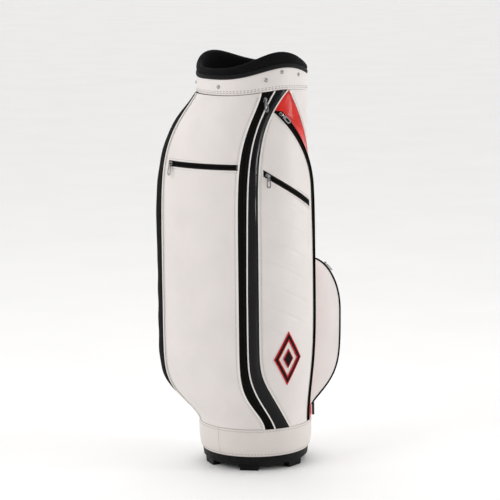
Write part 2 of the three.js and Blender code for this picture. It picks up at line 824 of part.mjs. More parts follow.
function pullGeometry(length, width) {
  const outline = new THREE.Shape();
  outline.absarc(0, 0, 2.6, PI, 0, true);
  outline.lineTo(width / 2, -length * 0.55);
  outline.absarc(0, -length + width / 2, width / 2, 0, -PI, true);
  outline.lineTo(-width / 2, -length * 0.55);
  const window = new THREE.Path();
  window.absellipse(0, -length * 0.66, width / 2 - 2, length * 0.26, 0, 2 * PI, false);
  outline.holes.push(window);
  const depth = 1.6;
  const settings = { depth, bevelEnabled: false, curveSegments: 6 };
  const plate = new THREE.ExtrudeGeometry(outline, settings).rotateX(PI / 2).translate(0, depth / 2, 0);
  const neck = new THREE.CylinderGeometry(2.6, 2.6, 2.8, 12).rotateZ(PI / 2);
  const hole = new THREE.CylinderGeometry(EYE_R, EYE_R, 6, 12).rotateZ(PI / 2);
  const trimmed = solid(plate).subtract(solid(box(-9, -1.4, -2, 2, -5, 9)));
  const narrow = trimmed.subtract(solid(box(1.4, 9, -2, 2, -5, 9)));
  return geometryOf(narrow.add(solid(neck)).subtract(solid(hole)));
}

// A slider with its pull hung on it; the slider remembers the course it follows. "hang" turns the
// bail and the pull over the surface.
function zipSlider(name, seat, turn, course, hang = 0) {
  const frame = seat.clone().multiply(new THREE.Matrix4().makeRotationY(hang));
  const slider = add(`${name}_slider`, sliderGeometry(turn - hang), "chrome");
  slider.applyMatrix4(frame);
  slider.userData.course = course;
  const pull = add(`${name}_pull`, pullGeometry(PULL_LENGTH, 9), "chrome");
  pull.geometry.translate(0, PLATE + BAIL, 0);
  pull.applyMatrix4(frame);
  pull.userData.hinge = new THREE.Vector3(0, PLATE + BAIL, 0).applyMatrix4(frame);
}

const SLIDER_LIFT = TUBE_R / 90; // running gap under a slider, greater on a wider body
const BALL_START = 0.93; // share of the ball pocket's height where its slider rests
function course(path) {
  const points = [];
  for (let k = 0; k <= 40; k++) {
    const [angle, z, radius] = path(k / 40);
    const m = surfaceFrame(angle, z, radius, SLIDER_LIFT).elements;
    points.push(new THREE.Vector3(m[12], m[13], m[14]));
  }
  return points;
}

const bandMiddle = (z) => mix(cornerAngle(z), stripeSplit(z), 0.5);
const leftStart = BODY_TOP - 16;
const onLevel = (edge, z) => [edge(z), heightAt(edge(z), z)];
const leftCourse = course((t) => {
  return [...onLevel(bandMiddle, mix(leftStart, leftStart - 300, t)), stripeRadius];
});
const lean = (points) => {
  const d = points[1].clone().sub(points[0]);
  return atan(sqrt(d.x * d.x + d.y * d.y) / abs(d.z));
};
const leftFrame = surfaceFrame(...onLevel(bandMiddle, leftStart), stripeRadius, SLIDER_LIFT);
zipSlider("left_zip", leftFrame, -lean(leftCourse), leftCourse);

const frontMiddle = (z) => (bandLeft(z) + bandRight(z)) / 2;
const frontStart = BODY_TOP - 50;
const frontCourse = course((t) => {
  return [...onLevel(frontMiddle, mix(frontStart, frontStart - 300, t)), frontRadius];
});
const frontFrame = surfaceFrame(...onLevel(frontMiddle, frontStart), frontRadius, SLIDER_LIFT);
zipSlider("front_zip", frontFrame, lean(frontCourse), frontCourse, lean(frontCourse));

const pocketStart = POCKET_ZIP.from + 4;
const pocketCourse = course((t) => [
  mix(pocketStart, POCKET_ZIP.to - 4, t),
  POCKET_ZIP_Z,
  faceRadius,
]);
const pocketFrame = surfaceFrame(pocketStart, POCKET_ZIP_Z, faceRadius, SLIDER_LIFT);
zipSlider("pocket_zip", pocketFrame, PI / 2, pocketCourse);

const slantStart = SLANT.from + 4;
const slantCourse = course((t) => {
  const angle = mix(slantStart, SLANT.to - 4, t);
  return [angle, slantMiddle(angle), frontRadius];
});
const slantFrame = surfaceFrame(slantStart, slantMiddle(slantStart), frontRadius, SLIDER_LIFT);
zipSlider("slant_zip", slantFrame, rad(58), slantCourse);

// The ball pocket's zip runs over its outer edge, beside the near side.
const ballTapeY = ZIP_WIDTH / 2 + PANEL - BALL_HALF_WIDTH;
const ballPoint = (share) => {
  const z = mix(BALL_BOTTOM, BALL_TOP, share);
  return new THREE.Vector3(ballDepth(z), ballTapeY, z);
};
function ballNormal(share) {
  const d = ballPoint(share + 0.004).sub(ballPoint(share - 0.004));
  return new THREE.Vector3(d.z, 0, -d.x).normalize();
}
const ballCourse = Array.from({ length: 41 }, (_, k) => {
  const share = mix(BALL_START, 0.45, k / 40);
  return ballPoint(share).addScaledVector(ballNormal(share), SLIDER_LIFT);
});
const ballFrame = frameAt(ballCourse[0], ballNormal(BALL_START));
zipSlider("ball_zip", ballFrame, 0, ballCourse);

// ---- studs that hold the rain hood ----
// Angle of each stud and its distance below the rim.
const STUDS = [
  [-73, 15],
  [-22, 18],
  [-4, 9],
  [20, 12],
  [73, 15],
  [125, 15],
  [-125, 15],
];
STUDS.forEach(([angle, drop], k) => {
  const z = rimLow(angle) - drop;
  const stud = new THREE.LatheGeometry(
    [
      [0, 0],
      [4, 0],
      [4, 1],
      [2.8, 2.4],
      [0, 3],
    ].map(([r, h]) => new THREE.Vector2(r, h)),
    12,
  );
  const out = polar(1, angle, 0);
  add(`hood_stud_${k + 1}`, stud, "chrome").applyMatrix4(
    frameAt(polar(COLLAR_R + 0.4 + GAP, angle, z), out),
  );
});

// ---- carry handle and strap rings on the back ----
const HANDLE_LOW = BODY_TOP - 270;
const HANDLE_HIGH = BODY_TOP - 90;
const BACK = 176; // angle of the spine
function backBox(width, depth, z0, z1, lift) {
  const r = bodyRadius((z0 + z1) / 2) + lift;
  const geometry = box(-width / 2, width / 2, 0, depth, z0, z1);
  const lean = atan((BODY_R_LOW - BODY_R_TOP) / (BODY_TOP - BAND_TOP));
  geometry.translate(0, 0, -(z0 + z1) / 2).rotateX(lean);
  const m = new THREE.Matrix4().makeRotationZ(rad(BACK - 180)).setPosition(polar(r, BACK, (z0 + z1) / 2));
  return geometry.applyMatrix4(m);
}
add("handle_anchor_low", backBox(34, 3, HANDLE_LOW - 18, HANDLE_LOW + 18, GAP), "black");
add("handle_anchor_high", backBox(34, 3, HANDLE_HIGH - 18, HANDLE_HIGH + 18, GAP), "black");

const HANDLE_OUT = 44;
const HANDLE_SEAT = 9;
const handlePath = new THREE.CatmullRomCurve3(
  [
    [HANDLE_SEAT, HANDLE_LOW],
    [HANDLE_OUT * 0.7, HANDLE_LOW + 22],
    [HANDLE_OUT, (HANDLE_LOW + HANDLE_HIGH) / 2],
    [HANDLE_OUT * 0.7, HANDLE_HIGH - 22],
    [HANDLE_SEAT, HANDLE_HIGH],
  ].map(([out, z]) => polar(bodyRadius(z) + out, BACK, z)),
);
const grip = new THREE.Shape();
grip.absellipse(0, 0, 13, 4, 0, 2 * PI, false);
add(
  "carry_handle",
  new THREE.ExtrudeGeometry(grip, { extrudePath: handlePath, steps: 16, curveSegments: 5 }),
  "black",
);

// A strap ring hangs in a slotted tab and swings outwards.
const STRAP_RING = { radius: 14, wire: 1.5, out: 4.5, drop: 2.1 };
[BODY_TOP - 30, BAND_TOP + 190].forEach((z, k) => {
  const name = k === 0 ? "strap_ring_high" : "strap_ring_low";
  const { radius, wire, out, drop } = STRAP_RING;
  const frame = frameAt(polar(bodyRadius(z - radius) + GAP, BACK, z), polar(1, BACK, 0));
  const slot = box(-7, 7, out - wire - GAP, out + 2.4 * wire, -drop - 2.4 * wire, 0);
  const tab = solid(box(-6, 6, 0, out + 4 * wire, -12, 12)).subtract(solid(slot));
  add(`${name}_tab`, geometryOf(tab), "black").applyMatrix4(frame);
  const wireRing = new THREE.TorusGeometry(radius, wire, 8, 20).rotateX(PI / 2);
  wireRing.translate(0, out, -drop - radius);
  const hung = add(name, wireRing, "chrome");
  hung.applyMatrix4(frame);
  hung.userData.hinge = new THREE.Vector3(0, out, -drop).applyMatrix4(frame);
});

// ---- tab at the foot of the red gusset ----
const TAB = { angle: 52, low: BAND_TOP + 5, high: BAND_TOP + 31, width: 12, out: 5.5 };
const tabMiddle = (TAB.low + TAB.high) / 2;
const tabSeat = polar(redRadius(TAB.angle, tabMiddle) + 1.2, TAB.angle, tabMiddle);
const tabHeight = TAB.high - TAB.low;
add(
  "side_tab",
  box(-TAB.width / 2, TAB.width / 2, 0, TAB.out, -tabHeight / 2, tabHeight / 2),
  "black",
).applyMatrix4(frameAt(tabSeat, polar(1, TAB.angle, 0)));

export default bag;
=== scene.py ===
import math

import bpy
import numpy as np
from mathutils import Matrix, Vector


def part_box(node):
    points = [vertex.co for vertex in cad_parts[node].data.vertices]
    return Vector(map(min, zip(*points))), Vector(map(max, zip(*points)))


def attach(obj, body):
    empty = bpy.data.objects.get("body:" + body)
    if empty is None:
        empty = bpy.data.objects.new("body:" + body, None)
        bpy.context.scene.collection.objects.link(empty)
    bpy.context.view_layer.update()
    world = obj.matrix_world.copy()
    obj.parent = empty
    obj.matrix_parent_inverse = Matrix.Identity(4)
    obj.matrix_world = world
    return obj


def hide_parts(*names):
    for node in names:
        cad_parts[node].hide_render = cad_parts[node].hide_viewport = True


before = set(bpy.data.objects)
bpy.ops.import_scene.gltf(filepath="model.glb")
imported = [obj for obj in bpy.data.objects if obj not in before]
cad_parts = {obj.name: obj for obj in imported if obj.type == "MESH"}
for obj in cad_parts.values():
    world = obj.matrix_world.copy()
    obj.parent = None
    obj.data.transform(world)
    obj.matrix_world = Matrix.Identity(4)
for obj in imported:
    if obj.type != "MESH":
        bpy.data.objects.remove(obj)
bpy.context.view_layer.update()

# Lengths are millimetres and turn into metres as a mesh is made; the camera and lights are in metres.
MM = 0.001
BODY = "bag"


def linked(name, data):
    made = bpy.data.objects.new(name, data)
    bpy.context.scene.collection.objects.link(made)
    return made


# ---- camera ----
CAMERA_DISTANCE, CAMERA_HEIGHT = 4.65, 1.25


def place_camera():
    around, pitch, roll = math.radians(-36.5), math.radians(9.62), math.radians(0.6)
    data = bpy.data.cameras.new("camera")
    data.lens = 157.3
    data.sensor_width = 36.0
    data.shift_x = -0.0072
    camera = linked("camera", data)
    forward = Vector((
        -math.sin(around) * math.cos(pitch),
        math.cos(around) * math.cos(pitch),
        -math.sin(pitch),
    ))
    level = Vector((math.cos(around), math.sin(around), 0.0))
    above = level.cross(forward)
    right = level * math.cos(roll) - above * math.sin(roll)
    up = above * math.cos(roll) + level * math.sin(roll)
    turn = Matrix((right, up, -forward)).transposed().to_4x4()
    place = Vector((CAMERA_DISTANCE * math.sin(around), -CAMERA_DISTANCE * math.cos(around),
                    CAMERA_HEIGHT))
    camera.matrix_world = Matrix.Translation(place) @ turn
    bpy.context.scene.camera = camera


place_camera()

# ---- shape of the outer surface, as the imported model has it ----
PANEL = 3.0
BAND_BOTTOM, BAND_TOP = 32.0, 93.0
BODY_HEIGHT = 713.0
BODY_TOP = BAND_TOP + BODY_HEIGHT
BODY_LOW = BAND_TOP + 0.3
RIM_LOW = BODY_TOP + 33.0
RIM_TOP = RIM_LOW + 22.0
BINDING = 9.0
COLLAR_R = 117.1
BODY_R_TOP = COLLAR_R + 0.9
BODY_R_LOW = BODY_R_TOP + 4.5
CORNER_R = BODY_R_TOP + 45.6
POCKET_BACK_R = BODY_R_TOP + 82.5
POCKET_MID_R = BODY_R_TOP + 52.0
REAR_CORNER, REAR_END, BACK_SEAM = -111.5, -156.0, 150.0
FRONT_BULGE = 18.0
ZIP = 13.0
FRONT_ZIP = 11.5
BALL_DEPTH = BODY_R_TOP + 50.0
BALL_HALF = BODY_R_TOP - 30.0
BALL_BOTTOM = BAND_TOP + 30.0
BALL_TOP = BALL_BOTTOM + 324.0
SLANT_HALF = 7.6
COLLAR_INNER = 114.2
STITCH_ROW = 5.0
POCKET_ZIP = (-107.8, -48.0, BODY_TOP - 145.0)
SLANT_FROM, SLANT_TO, SLANT_DROP, SLANT_Z = -27.0, 24.5, 74.0, BODY_TOP - 160.0


def polar(radius, angle, z):
    a = np.radians(angle)
    return np.stack(np.broadcast_arrays(radius * np.sin(a), -radius * np.cos(a), z), -1)


def mix(a, b, t):
    return a + (b - a) * t


def bell(distance, width, power=2):
    """1 where distance is 0, falling to nothing over a few widths."""
    return np.exp(-((distance / width) ** power))


def unit(vectors):
    return vectors / np.linalg.norm(vectors, axis=-1, keepdims=True)


def always(value):
    """A line that keeps one value all along."""
    return lambda along: value + 0 * along


def cosine(angle):
    return np.cos(np.radians(angle))


def frontness(angle):
    return np.maximum(0.0, cosine(angle)) ** 4


def body_radius(z):
    return mix(BODY_R_LOW, BODY_R_TOP, (z - BAND_TOP) / (BODY_TOP - BAND_TOP))


def collar_seam(angle):
    return BODY_TOP + 11.0 * frontness(angle)


def rim_low(angle):
    return RIM_LOW + 24.0 * cosine(angle) ** 4


def rim_top(angle):
    return RIM_TOP + 35.0 * (frontness(angle + 4.0) + 0.8 * frontness(angle - 193.0))


def full_above(z, rise, power):
    return 1 - bell(np.maximum(0.0, z - BAND_TOP), rise, power)


def full_below(z, rise, power):
    return 1 - bell(np.maximum(0.0, BODY_TOP + 8 - z), rise, power)


def corner_full(z):
    return full_below(z, 95, 1.4) * full_above(z, 67, 1.7)


def rear_full(z):
    return full_below(z, 85, 1.4) * full_above(z, 67, 1.8)


def front_full(z):
    return full_below(z, 150, 2.6) * full_above(z, 122, 2)


def corner_angle(z):
    turn = 1 - bell(np.maximum(0.0, BODY_TOP - z), 71.5, 1.36)
    return mix(-27.6, -48.6, turn * full_above(z, 60, 1.7))


def corner_radius(z):
    return mix(body_radius(z), CORNER_R, corner_full(z))


def front_left(z):
    share = np.maximum(0.0, z - BAND_TOP - 364.5) / (BODY_HEIGHT / 2)
    low = 4.5 * np.log(1 + np.exp((BAND_TOP + 0.163 * BODY_HEIGHT - z) / 16))
    return -31.9 + 40.0 * share**5.6 + low


def stripe_split(z):
    share = mix(0.39, 0.49, np.clip(((z - BAND_TOP) / BODY_HEIGHT - 0.43) / 0.57, 0, 1))
    return mix(corner_angle(z), front_left(z), share)


def front_radius(angle, z):
    return body_radius(z) + FRONT_BULGE * front_full(z) + 0 * angle


def lean_share(z):
    return np.maximum(0.0, z - BODY_TOP + 201) / 141


def front_right(z):
    return 30 - 35.9 * lean_share(z) ** 1.83


def zip_edge(z):
    slope = 35.9 * 1.83 / 141 * lean_share(z) ** 0.83
    wide = np.degrees(FRONT_ZIP / front_radius(0, z))
    return front_right(z) + wide * np.sqrt(1 + (slope * 2.1) ** 2)


def red_edge(z):
    return 56.5 - 0.31 * np.maximum(0.0, z - BODY_TOP + 166)


def band_left(z):
    return np.maximum(front_right(z), front_left(z))


def band_right(z):
    return np.where(front_right(z) > front_left(z), zip_edge(z), front_left(z) + 1.6)


def chord_radius(angle, a1, r1, a2, r2):
    s = lambda d: np.sin(np.radians(d))
    return r1 * r2 * s(a2 - a1) / (r1 * s(angle - a1) + r2 * s(a2 - angle))


def stripe_radius(angle, z):
    chord = chord_radius(
        angle, corner_angle(z), corner_radius(z), front_left(z), front_radius(0, z)
    )
    return np.maximum(body_radius(z), chord)


def red_radius(angle, z):
    chord = chord_radius(
        angle, band_right(z), front_radius(0, z), red_edge(z), body_radius(z)
    )
    return np.maximum(body_radius(z), chord)


def plain_radius(angle, z):
    return body_radius(z) + 0 * angle


def face_radius(angle, z):
    """The left pocket's face is a circular arc in plan at every height."""
    full = rear_full(z)
    a = polar(corner_radius(z), corner_angle(z), z)
    middle = (corner_angle(z) + REAR_CORNER) / 2
    b = polar(mix(body_radius(z), POCKET_MID_R, full), middle, z)
    c = polar(mix(body_radius(z), POCKET_BACK_R, full), REAR_CORNER, z)
    ax, ay, bx, by, cx, cy = a[..., 0], a[..., 1], b[..., 0], b[..., 1], c[..., 0], c[..., 1]
    d = 2 * (ax * (by - cy) + bx * (cy - ay) + cx * (ay - by))
    sa, sb, sc = ax**2 + ay**2, bx**2 + by**2, cx**2 + cy**2
    x = (sa * (by - cy) + sb * (cy - ay) + sc * (ay - by)) / d
    y = (sa * (cx - bx) + sb * (ax - cx) + sc * (bx - ax)) / d
    square = (ax - x) ** 2 + (ay - y) ** 2
    t = np.radians(angle)
    along = np.sin(t) * x - np.cos(t) * y
    return along + np.sqrt(square - (x**2 + y**2 - along**2))


def rear_table():
    knots = np.array([[0, 1], [0.12, 1.055], [0.27, 1.085], [0.45, 0.84], [0.7, 0.35], [1, 0]])
    out = []
    for t in np.linspace(0, len(knots) - 1, 200):
        i = min(int(t), len(knots) - 2)
        w = t - i
        p0, p1 = knots[max(i - 1, 0)], knots[i]
        p2, p3 = knots[i + 1], knots[min(i + 2, len(knots) - 1)]
        v0, v1 = (p2 - p0) / 2, (p3 - p1) / 2
        out.append(
            (2 * p1 - 2 * p2 + v0 + v1) * w**3
            + (-3 * p1 + 3 * p2 - 2 * v0 - v1) * w**2
            + v0 * w
            + p1
        )
    return np.array(out)


REAR_SHAPE = rear_table()


def rear_radius(angle, z):
    u = (angle - REAR_CORNER) / (REAR_END - REAR_CORNER)
    shape = np.maximum(0.0, np.interp(u, REAR_SHAPE[:, 0], REAR_SHAPE[:, 1]))
    return body_radius(z) + (POCKET_BACK_R - body_radius(z)) * rear_full(z) * shape


def outer_radius(angle, z):
    out = np.where(angle < front_left(z), stripe_radius(angle, z), front_radius(angle, z))
    out = np.where(angle < corner_angle(z), face_radius(angle, z), out)
    return np.where(angle < REAR_CORNER, rear_radius(angle, z), out)


def height_at(angle, z):
    share = (z - BODY_LOW) / (BODY_TOP - BODY_LOW)
    return mix(BODY_LOW, collar_seam(angle) - 0.3, share)


def ripple(p, length, seed):
    """A smooth field of about -1 to 1 with that wavelength, the same each run."""
    rng = np.random.default_rng(seed)
    total = 0
    for _ in range(7):
        way = rng.normal(size=3)
        way *= 2 * np.pi / length * rng.uniform(0.6, 1.5) / np.linalg.norm(way)
        total = total + np.sin(p @ way + rng.uniform(0, 2 * np.pi))
    return total / 3


# ---- finishes ----
class Graph:
    def __init__(self, name):
        self.material = bpy.data.materials.new(name)
        self.material.use_nodes = True
        self.tree = self.material.node_tree
        self.shader = self.tree.nodes["Principled BSDF"]
        self.place = self.node("ShaderNodeTexCoord").outputs["Object"]
        self.cloth = self.node("ShaderNodeUVMap", uv_map="cloth").outputs["UV"]
        self.normal = None

    def node(self, kind, ins=(), **settings):
        made = self.tree.nodes.new(kind)
        for key, value in settings.items():
            setattr(made, key, value)
        for key, value in dict(ins).items():
            if isinstance(value, bpy.types.NodeSocket):
                self.tree.links.new(value, made.inputs[key])
            else:
                made.inputs[key].default_value = value
        return made

    def noise(self, scale, detail=3.0, source=None, rough=0.5):
        ins = {"Vector": source or self.place, "Scale": scale, "Detail": detail, "Roughness": rough}
        return self.node("ShaderNodeTexNoise", ins).outputs["Fac"]

    def cells(self, scale, source=None, feature="DISTANCE_TO_EDGE"):
        ins = {"Vector": source or self.place, "Scale": scale}
        return self.node("ShaderNodeTexVoronoi", ins, feature=feature).outputs["Distance"]

    def bands(self, period, way, source=None):
        """Even bands across the cloth, one in every period of millimetres."""
        ins = {"Vector": source or self.cloth, "Scale": 0.31416 / (period * MM)}
        return self.node(
            "ShaderNodeTexWave", ins, bands_direction=way, wave_profile="SIN"
        ).outputs["Fac"]

    def calc(self, how, a, b):
        return self.node("ShaderNodeMath", {0: a, 1: b}, operation=how).outputs[0]

    def spread(self, value, low, high, start=0.3, end=0.7):
        ins = {"Value": value, "From Min": start, "From Max": end, "To Min": low, "To Max": high}
        return self.node("ShaderNodeMapRange", ins).outputs[0]

    def color(self, value, dark, light, start=0.3, end=0.7):
        ramp = self.node("ShaderNodeValToRGB", {"Fac": value})
        ramp.color_ramp.elements[0].position = start
        ramp.color_ramp.elements[1].position = end
        ramp.color_ramp.elements[0].color = (*dark, 1)
        ramp.color_ramp.elements[1].color = (*light, 1)
        self.tree.links.new(ramp.outputs["Color"], self.shader.inputs["Base Color"])

    def rough(self, value, low, high):
        self.tree.links.new(self.spread(value, low, high), self.shader.inputs["Roughness"])

    def bump(self, value, depth):
        """Adds a relief that is depth millimetres deep."""
        ins = {"Height": value, "Distance": depth * MM, "Strength": 1.0}
        if self.normal:
            ins["Normal"] = self.normal
        self.normal = self.node("ShaderNodeBump", ins).outputs["Normal"]
        self.tree.links.new(self.normal, self.shader.inputs["Normal"])

    def set(self, **values):
        for key, value in values.items():
            self.shader.inputs[key.replace("_", " ")].default_value = value
        return self.material


def shades(color, amount):
    return [c * (1 - amount) for c in color], [min(1.0, c * (1 + amount)) for c in color]


def leather(name, color, rough, grain=0.11, coat=0.15, amount=0.03):
    g = Graph(name)
    blotch = g.noise(14, 4)
    g.color(blotch, *shades(color, amount))
    g.rough(g.noise(160, 3), rough - 0.05, rough + 0.07)
    pebble = g.cells(720)
    g.bump(g.noise(55, 3), 0.5)
    g.bump(g.spread(pebble, 0.0, 1.0, 0.0, 0.32), grain)
    g.bump(g.noise(2600, 2), 0.03)
    return g.set(Coat_Weight=coat, Coat_Roughness=0.25)


def patent(name, color, crinkle, rough=(0.07, 0.13), shine=0.12):
    g = Graph(name)
    g.color(g.noise(25, 3), *shades(color, 0.18))
    g.rough(g.noise(90, 4), *rough)
    stretched = g.node(
        "ShaderNodeMapping", {"Vector": g.place, "Scale": (1.0, 1.0, 0.45)}
    ).outputs["Vector"]
    g.bump(g.noise(16, 2, stretched), 3.0 * crinkle)
    g.bump(g.noise(60, 3), 0.25 * crinkle)
    g.bump(g.cells(900), 0.02)
    return g.set(Coat_Weight=shine, Coat_Roughness=0.05, Specular_IOR_Level=0.12)


def fabric(name, color, period, depth, sheen=0.25, amount=0.25, shine=0.12):
    g = Graph(name)
    weave = g.calc("MULTIPLY", g.bands(period, "X"), g.bands(period * 1.25, "Y"))
    g.color(g.calc("ADD", g.noise(70, 4), g.calc("MULTIPLY", weave, 0.2)), *shades(color, amount))
    g.rough(g.noise(300, 3), 0.62, 0.85)
    g.bump(weave, depth)
    g.bump(g.noise(1800, 3), 0.05)
    return g.set(Sheen_Weight=sheen, Sheen_Roughness=0.4, Specular_IOR_Level=shine)


def spacer_mesh(name, color):
    g = Graph(name)
    holes = g.node(
        "ShaderNodeTexVoronoi", {"Vector": g.cloth, "Scale": 330.0, "Randomness": 0.15},
        feature="F1",
    ).outputs["Distance"]
    dark, light = shades(color, 0.6)
    g.color(holes, dark, light, 0.22, 0.42)
    g.rough(g.noise(300, 3), 0.75, 0.95)
    g.bump(g.spread(holes, 0.0, 1.0, 0.2, 0.45), 0.5)
    return g.set(Specular_IOR_Level=0.12)


def ribbed(name, color):
    g = Graph(name)
    ribs = g.bands(1.5, "Y")
    g.color(g.calc("ADD", ribs, g.calc("MULTIPLY", g.noise(200, 3), 0.3)), *shades(color, 0.45))
    g.rough(g.noise(400, 3), 0.6, 0.8)
    g.bump(ribs, 0.3)
    g.bump(g.bands(0.8, "X"), 0.1)
    return g.set(Specular_IOR_Level=0.2)


def plastic(name, color):
    g = Graph(name)
    g.color(g.noise(40, 4), *shades(color, 0.2))
    g.rough(g.noise(220, 3), 0.42, 0.6)
    g.bump(g.noise(1300, 4), 0.12)
    return g.set(Specular_IOR_Level=0.12)


def foam(name, color):
    g = Graph(name)
    g.color(g.cells(500), *shades(color, 0.3), 0.0, 0.4)
    g.rough(g.noise(300, 3), 0.8, 0.95)
    g.bump(g.cells(500), 0.3)
    return g.set()


def plated(name, color):
    g = Graph(name)
    g.color(g.noise(60, 3), *shades(color, 0.06))
    g.rough(g.noise(450, 5), 0.08, 0.2)
    g.bump(g.noise(700, 2), 0.02)
    return g.set(Metallic=1.0)


def thread(name, color):
    g = Graph(name)
    g.color(g.noise(500, 2), *shades(color, 0.1))
    g.rough(g.noise(500, 2), 0.5, 0.7)
    g.bump(g.noise(2500, 2), 0.08)
    return g.set(Sheen_Weight=0.2)


FINISHES = {
    "white_leather": (leather, (0.765, 0.715, 0.69), 0.42),
    "base_leather": (leather, (0.72, 0.665, 0.63), 0.42),
    "white_piping": (leather, (0.83, 0.80, 0.77), 0.32, 0.05, 0.3),
    "black_panel": (fabric, (0.0035, 0.003, 0.0026), 0.9, 0.12, 0.0, 0.25, 0.06),
    "patent_leather": (patent, (0.004, 0.004, 0.005), 1.0),
    "red_patent": (patent, (0.64, 0.020, 0.013), 0.3, (0.2, 0.32), 0.1),
    "rim_mesh": (spacer_mesh, (0.0025, 0.0025, 0.003)),
    "binding": (ribbed, (0.004, 0.004, 0.0045)),
    "moulded_plastic": (plastic, (0.005, 0.005, 0.0055)),
    "foam": (foam, (0.03, 0.03, 0.032)),
    "divider_cloth": (fabric, (0.015, 0.015, 0.016), 1.2, 0.2, 0.3),
    "emblem": (fabric, (0.006, 0.005, 0.005), 0.7, 0.15, 0.0),
    "emblem_red": (fabric, (0.55, 0.02, 0.02), 0.7, 0.15, 0.0),
    "handle_leather": (leather, (0.012, 0.011, 0.0105), 0.5),
    "chrome": (plated, (0.40, 0.40, 0.41)),
    "thread_white": (thread, (0.30, 0.28, 0.265)),
    "thread_black": (thread, (0.02, 0.02, 0.02)),
}
FINISH = {name: make(name, *rest) for name, (make, *rest) in FINISHES.items()}


# ---- meshes ----
def smooth(mesh, sharp):
    mesh.polygons.foreach_set("use_smooth", np.ones(len(mesh.polygons), dtype=bool))
    mesh.set_sharp_from_angle(angle=math.radians(sharp))


def piece(name, mesh, finish, stands="", slot=None):
    """An object in that finish that rides on the bag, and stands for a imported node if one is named."""
    made = linked(name, mesh)
    mesh.materials.append(FINISH[finish])
    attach(made, BODY)
    if stands:
        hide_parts(stands)
    return made


def mesh_object(name, points, faces, finish, uv=None, sharp=40, **more):
    mesh = bpy.data.meshes.new(name)
    faces = faces if isinstance(faces, list) else faces.tolist()
    mesh.from_pydata((np.asarray(points, float) * MM).tolist(), [], faces)
    if uv is not None:
        layer = mesh.uv_layers.new(name="cloth")
        index = np.empty(len(mesh.loops), dtype=np.int32)
        mesh.loops.foreach_get("vertex_index", index)
        layer.data.foreach_set("uv", (np.asarray(uv, float)[index] * MM).ravel())
    smooth(mesh, sharp)
    return piece(name, mesh, finish, **more)


def normals(p):
    n = np.cross(np.gradient(p, axis=1), np.gradient(p, axis=0))
    return n / np.maximum(1e-9, np.linalg.norm(n, axis=-1, keepdims=True))


def grid_faces(rows, columns, start=0, flip=False):
    j, i = np.mgrid[0 : rows - 1, 0 : columns - 1]
    a = (start + j * columns + i).ravel()
    quads = np.stack([a, a + 1, a + columns + 1, a + columns], -1)
    return quads[:, ::-1] if flip else quads


def shell(outer, wall):
    """Points and faces of a closed sheet whose outer face is that grid."""
    rows, columns = outer.shape[:2]
    inner = outer - normals(outer) * wall
    count = rows * columns
    points = np.concatenate([outer.reshape(-1, 3), inner.reshape(-1, 3)])
    at = np.arange(count).reshape(rows, columns)
    loop = np.concatenate([at[0, :], at[1:, -1], at[-1, -2::-1], at[-2:0:-1, 0]])
    after = np.roll(loop, -1)
    rim = np.stack([after, loop, loop + count, after + count], -1)
    faces = np.concatenate(
        [grid_faces(rows, columns), grid_faces(rows, columns, count, True), rim]
    )
    return points, faces


def sheet_object(name, outer, wall, finish, uv=None, **more):
    points, faces = shell(outer, wall)
    if uv is None:
        uv = lengths(outer)
    both = np.concatenate([uv.reshape(-1, 2)] * 2)
    return mesh_object(name, points, faces, finish, uv=both, **more)


def lengths(p):
    """Distance along each row and up each column of a grid."""
    along = np.linalg.norm(np.diff(p, axis=1), axis=-1)
    up = np.linalg.norm(np.diff(p, axis=0), axis=-1)
    u = np.concatenate([np.zeros((p.shape[0], 1)), np.cumsum(along, 1)], 1)
    v = np.concatenate([np.zeros((1, p.shape[1])), np.cumsum(up, 0)], 0)
    return np.stack([u, v], -1)


NEAR = np.array([0, 0.5, 1.0, 1.7, 2.5, 3.4, 4.2, 5.0, 5.8, 6.8, 8.6, 11.5, 15.5])


def stations(width, step):
    """Distances across a width, close together near both edges."""
    near = NEAR * min(1.0, width / (2.6 * NEAR[-1]))
    middle = max(2, int(round((width - 2 * near[-1]) / step)))
    inside = np.linspace(near[-1], width - near[-1], middle + 1)
    return np.concatenate([near[:-1], inside, width - near[-2::-1]])


def panel_grid(left, right, radius, low=BODY_LOW, high=BODY_TOP, step=5.0, inset=0.1):
    """Angles, heights and distance to the nearest edge of a grid over a panel."""
    z = low + stations(high - low, step)
    a, b = left(z) + 0 * z, right(z) + 0 * z
    widest = np.max(np.radians(b - a) * radius((a + b) / 2, z))
    base = stations(widest, step)
    share = base / widest
    count = len(NEAR)
    angle = np.empty((len(z), len(base)))
    edge = np.empty_like(angle)
    for j in range(len(z)):
        rr = float(radius((a[j] + b[j]) / 2, z[j : j + 1])[0])
        width = np.radians(b[j] - a[j]) * rr - 2 * inset
        small = min(1.0, max(width, 0.01) / (2.6 * NEAR[-1]))
        across = np.concatenate([
            base[:count] * small,
            np.interp(share[count:-count], [share[count - 1], share[-count]],
                      [base[count - 1] * small, width - base[count - 1] * small]),
            width - base[:count][::-1] * small,
        ])
        angle[j] = a[j] + np.degrees((inset + across) / rr)
        edge[j] = np.minimum(across, width - across)
    levels = z[:, None] + 0 * angle
    ends = np.minimum(levels - low, high - levels)
    return angle, levels, edge, ends


def surface(angle, levels, radius):
    return polar(radius(angle, levels), angle, height_at(angle, levels))


def tuck(d, depth=1.1, groove=0.55):
    """How far leather dips towards a seam, with the line of stitches beside it."""
    return -depth * bell(d, 2.4, 1.3) - groove * bell(d - STITCH_ROW, 1.1)


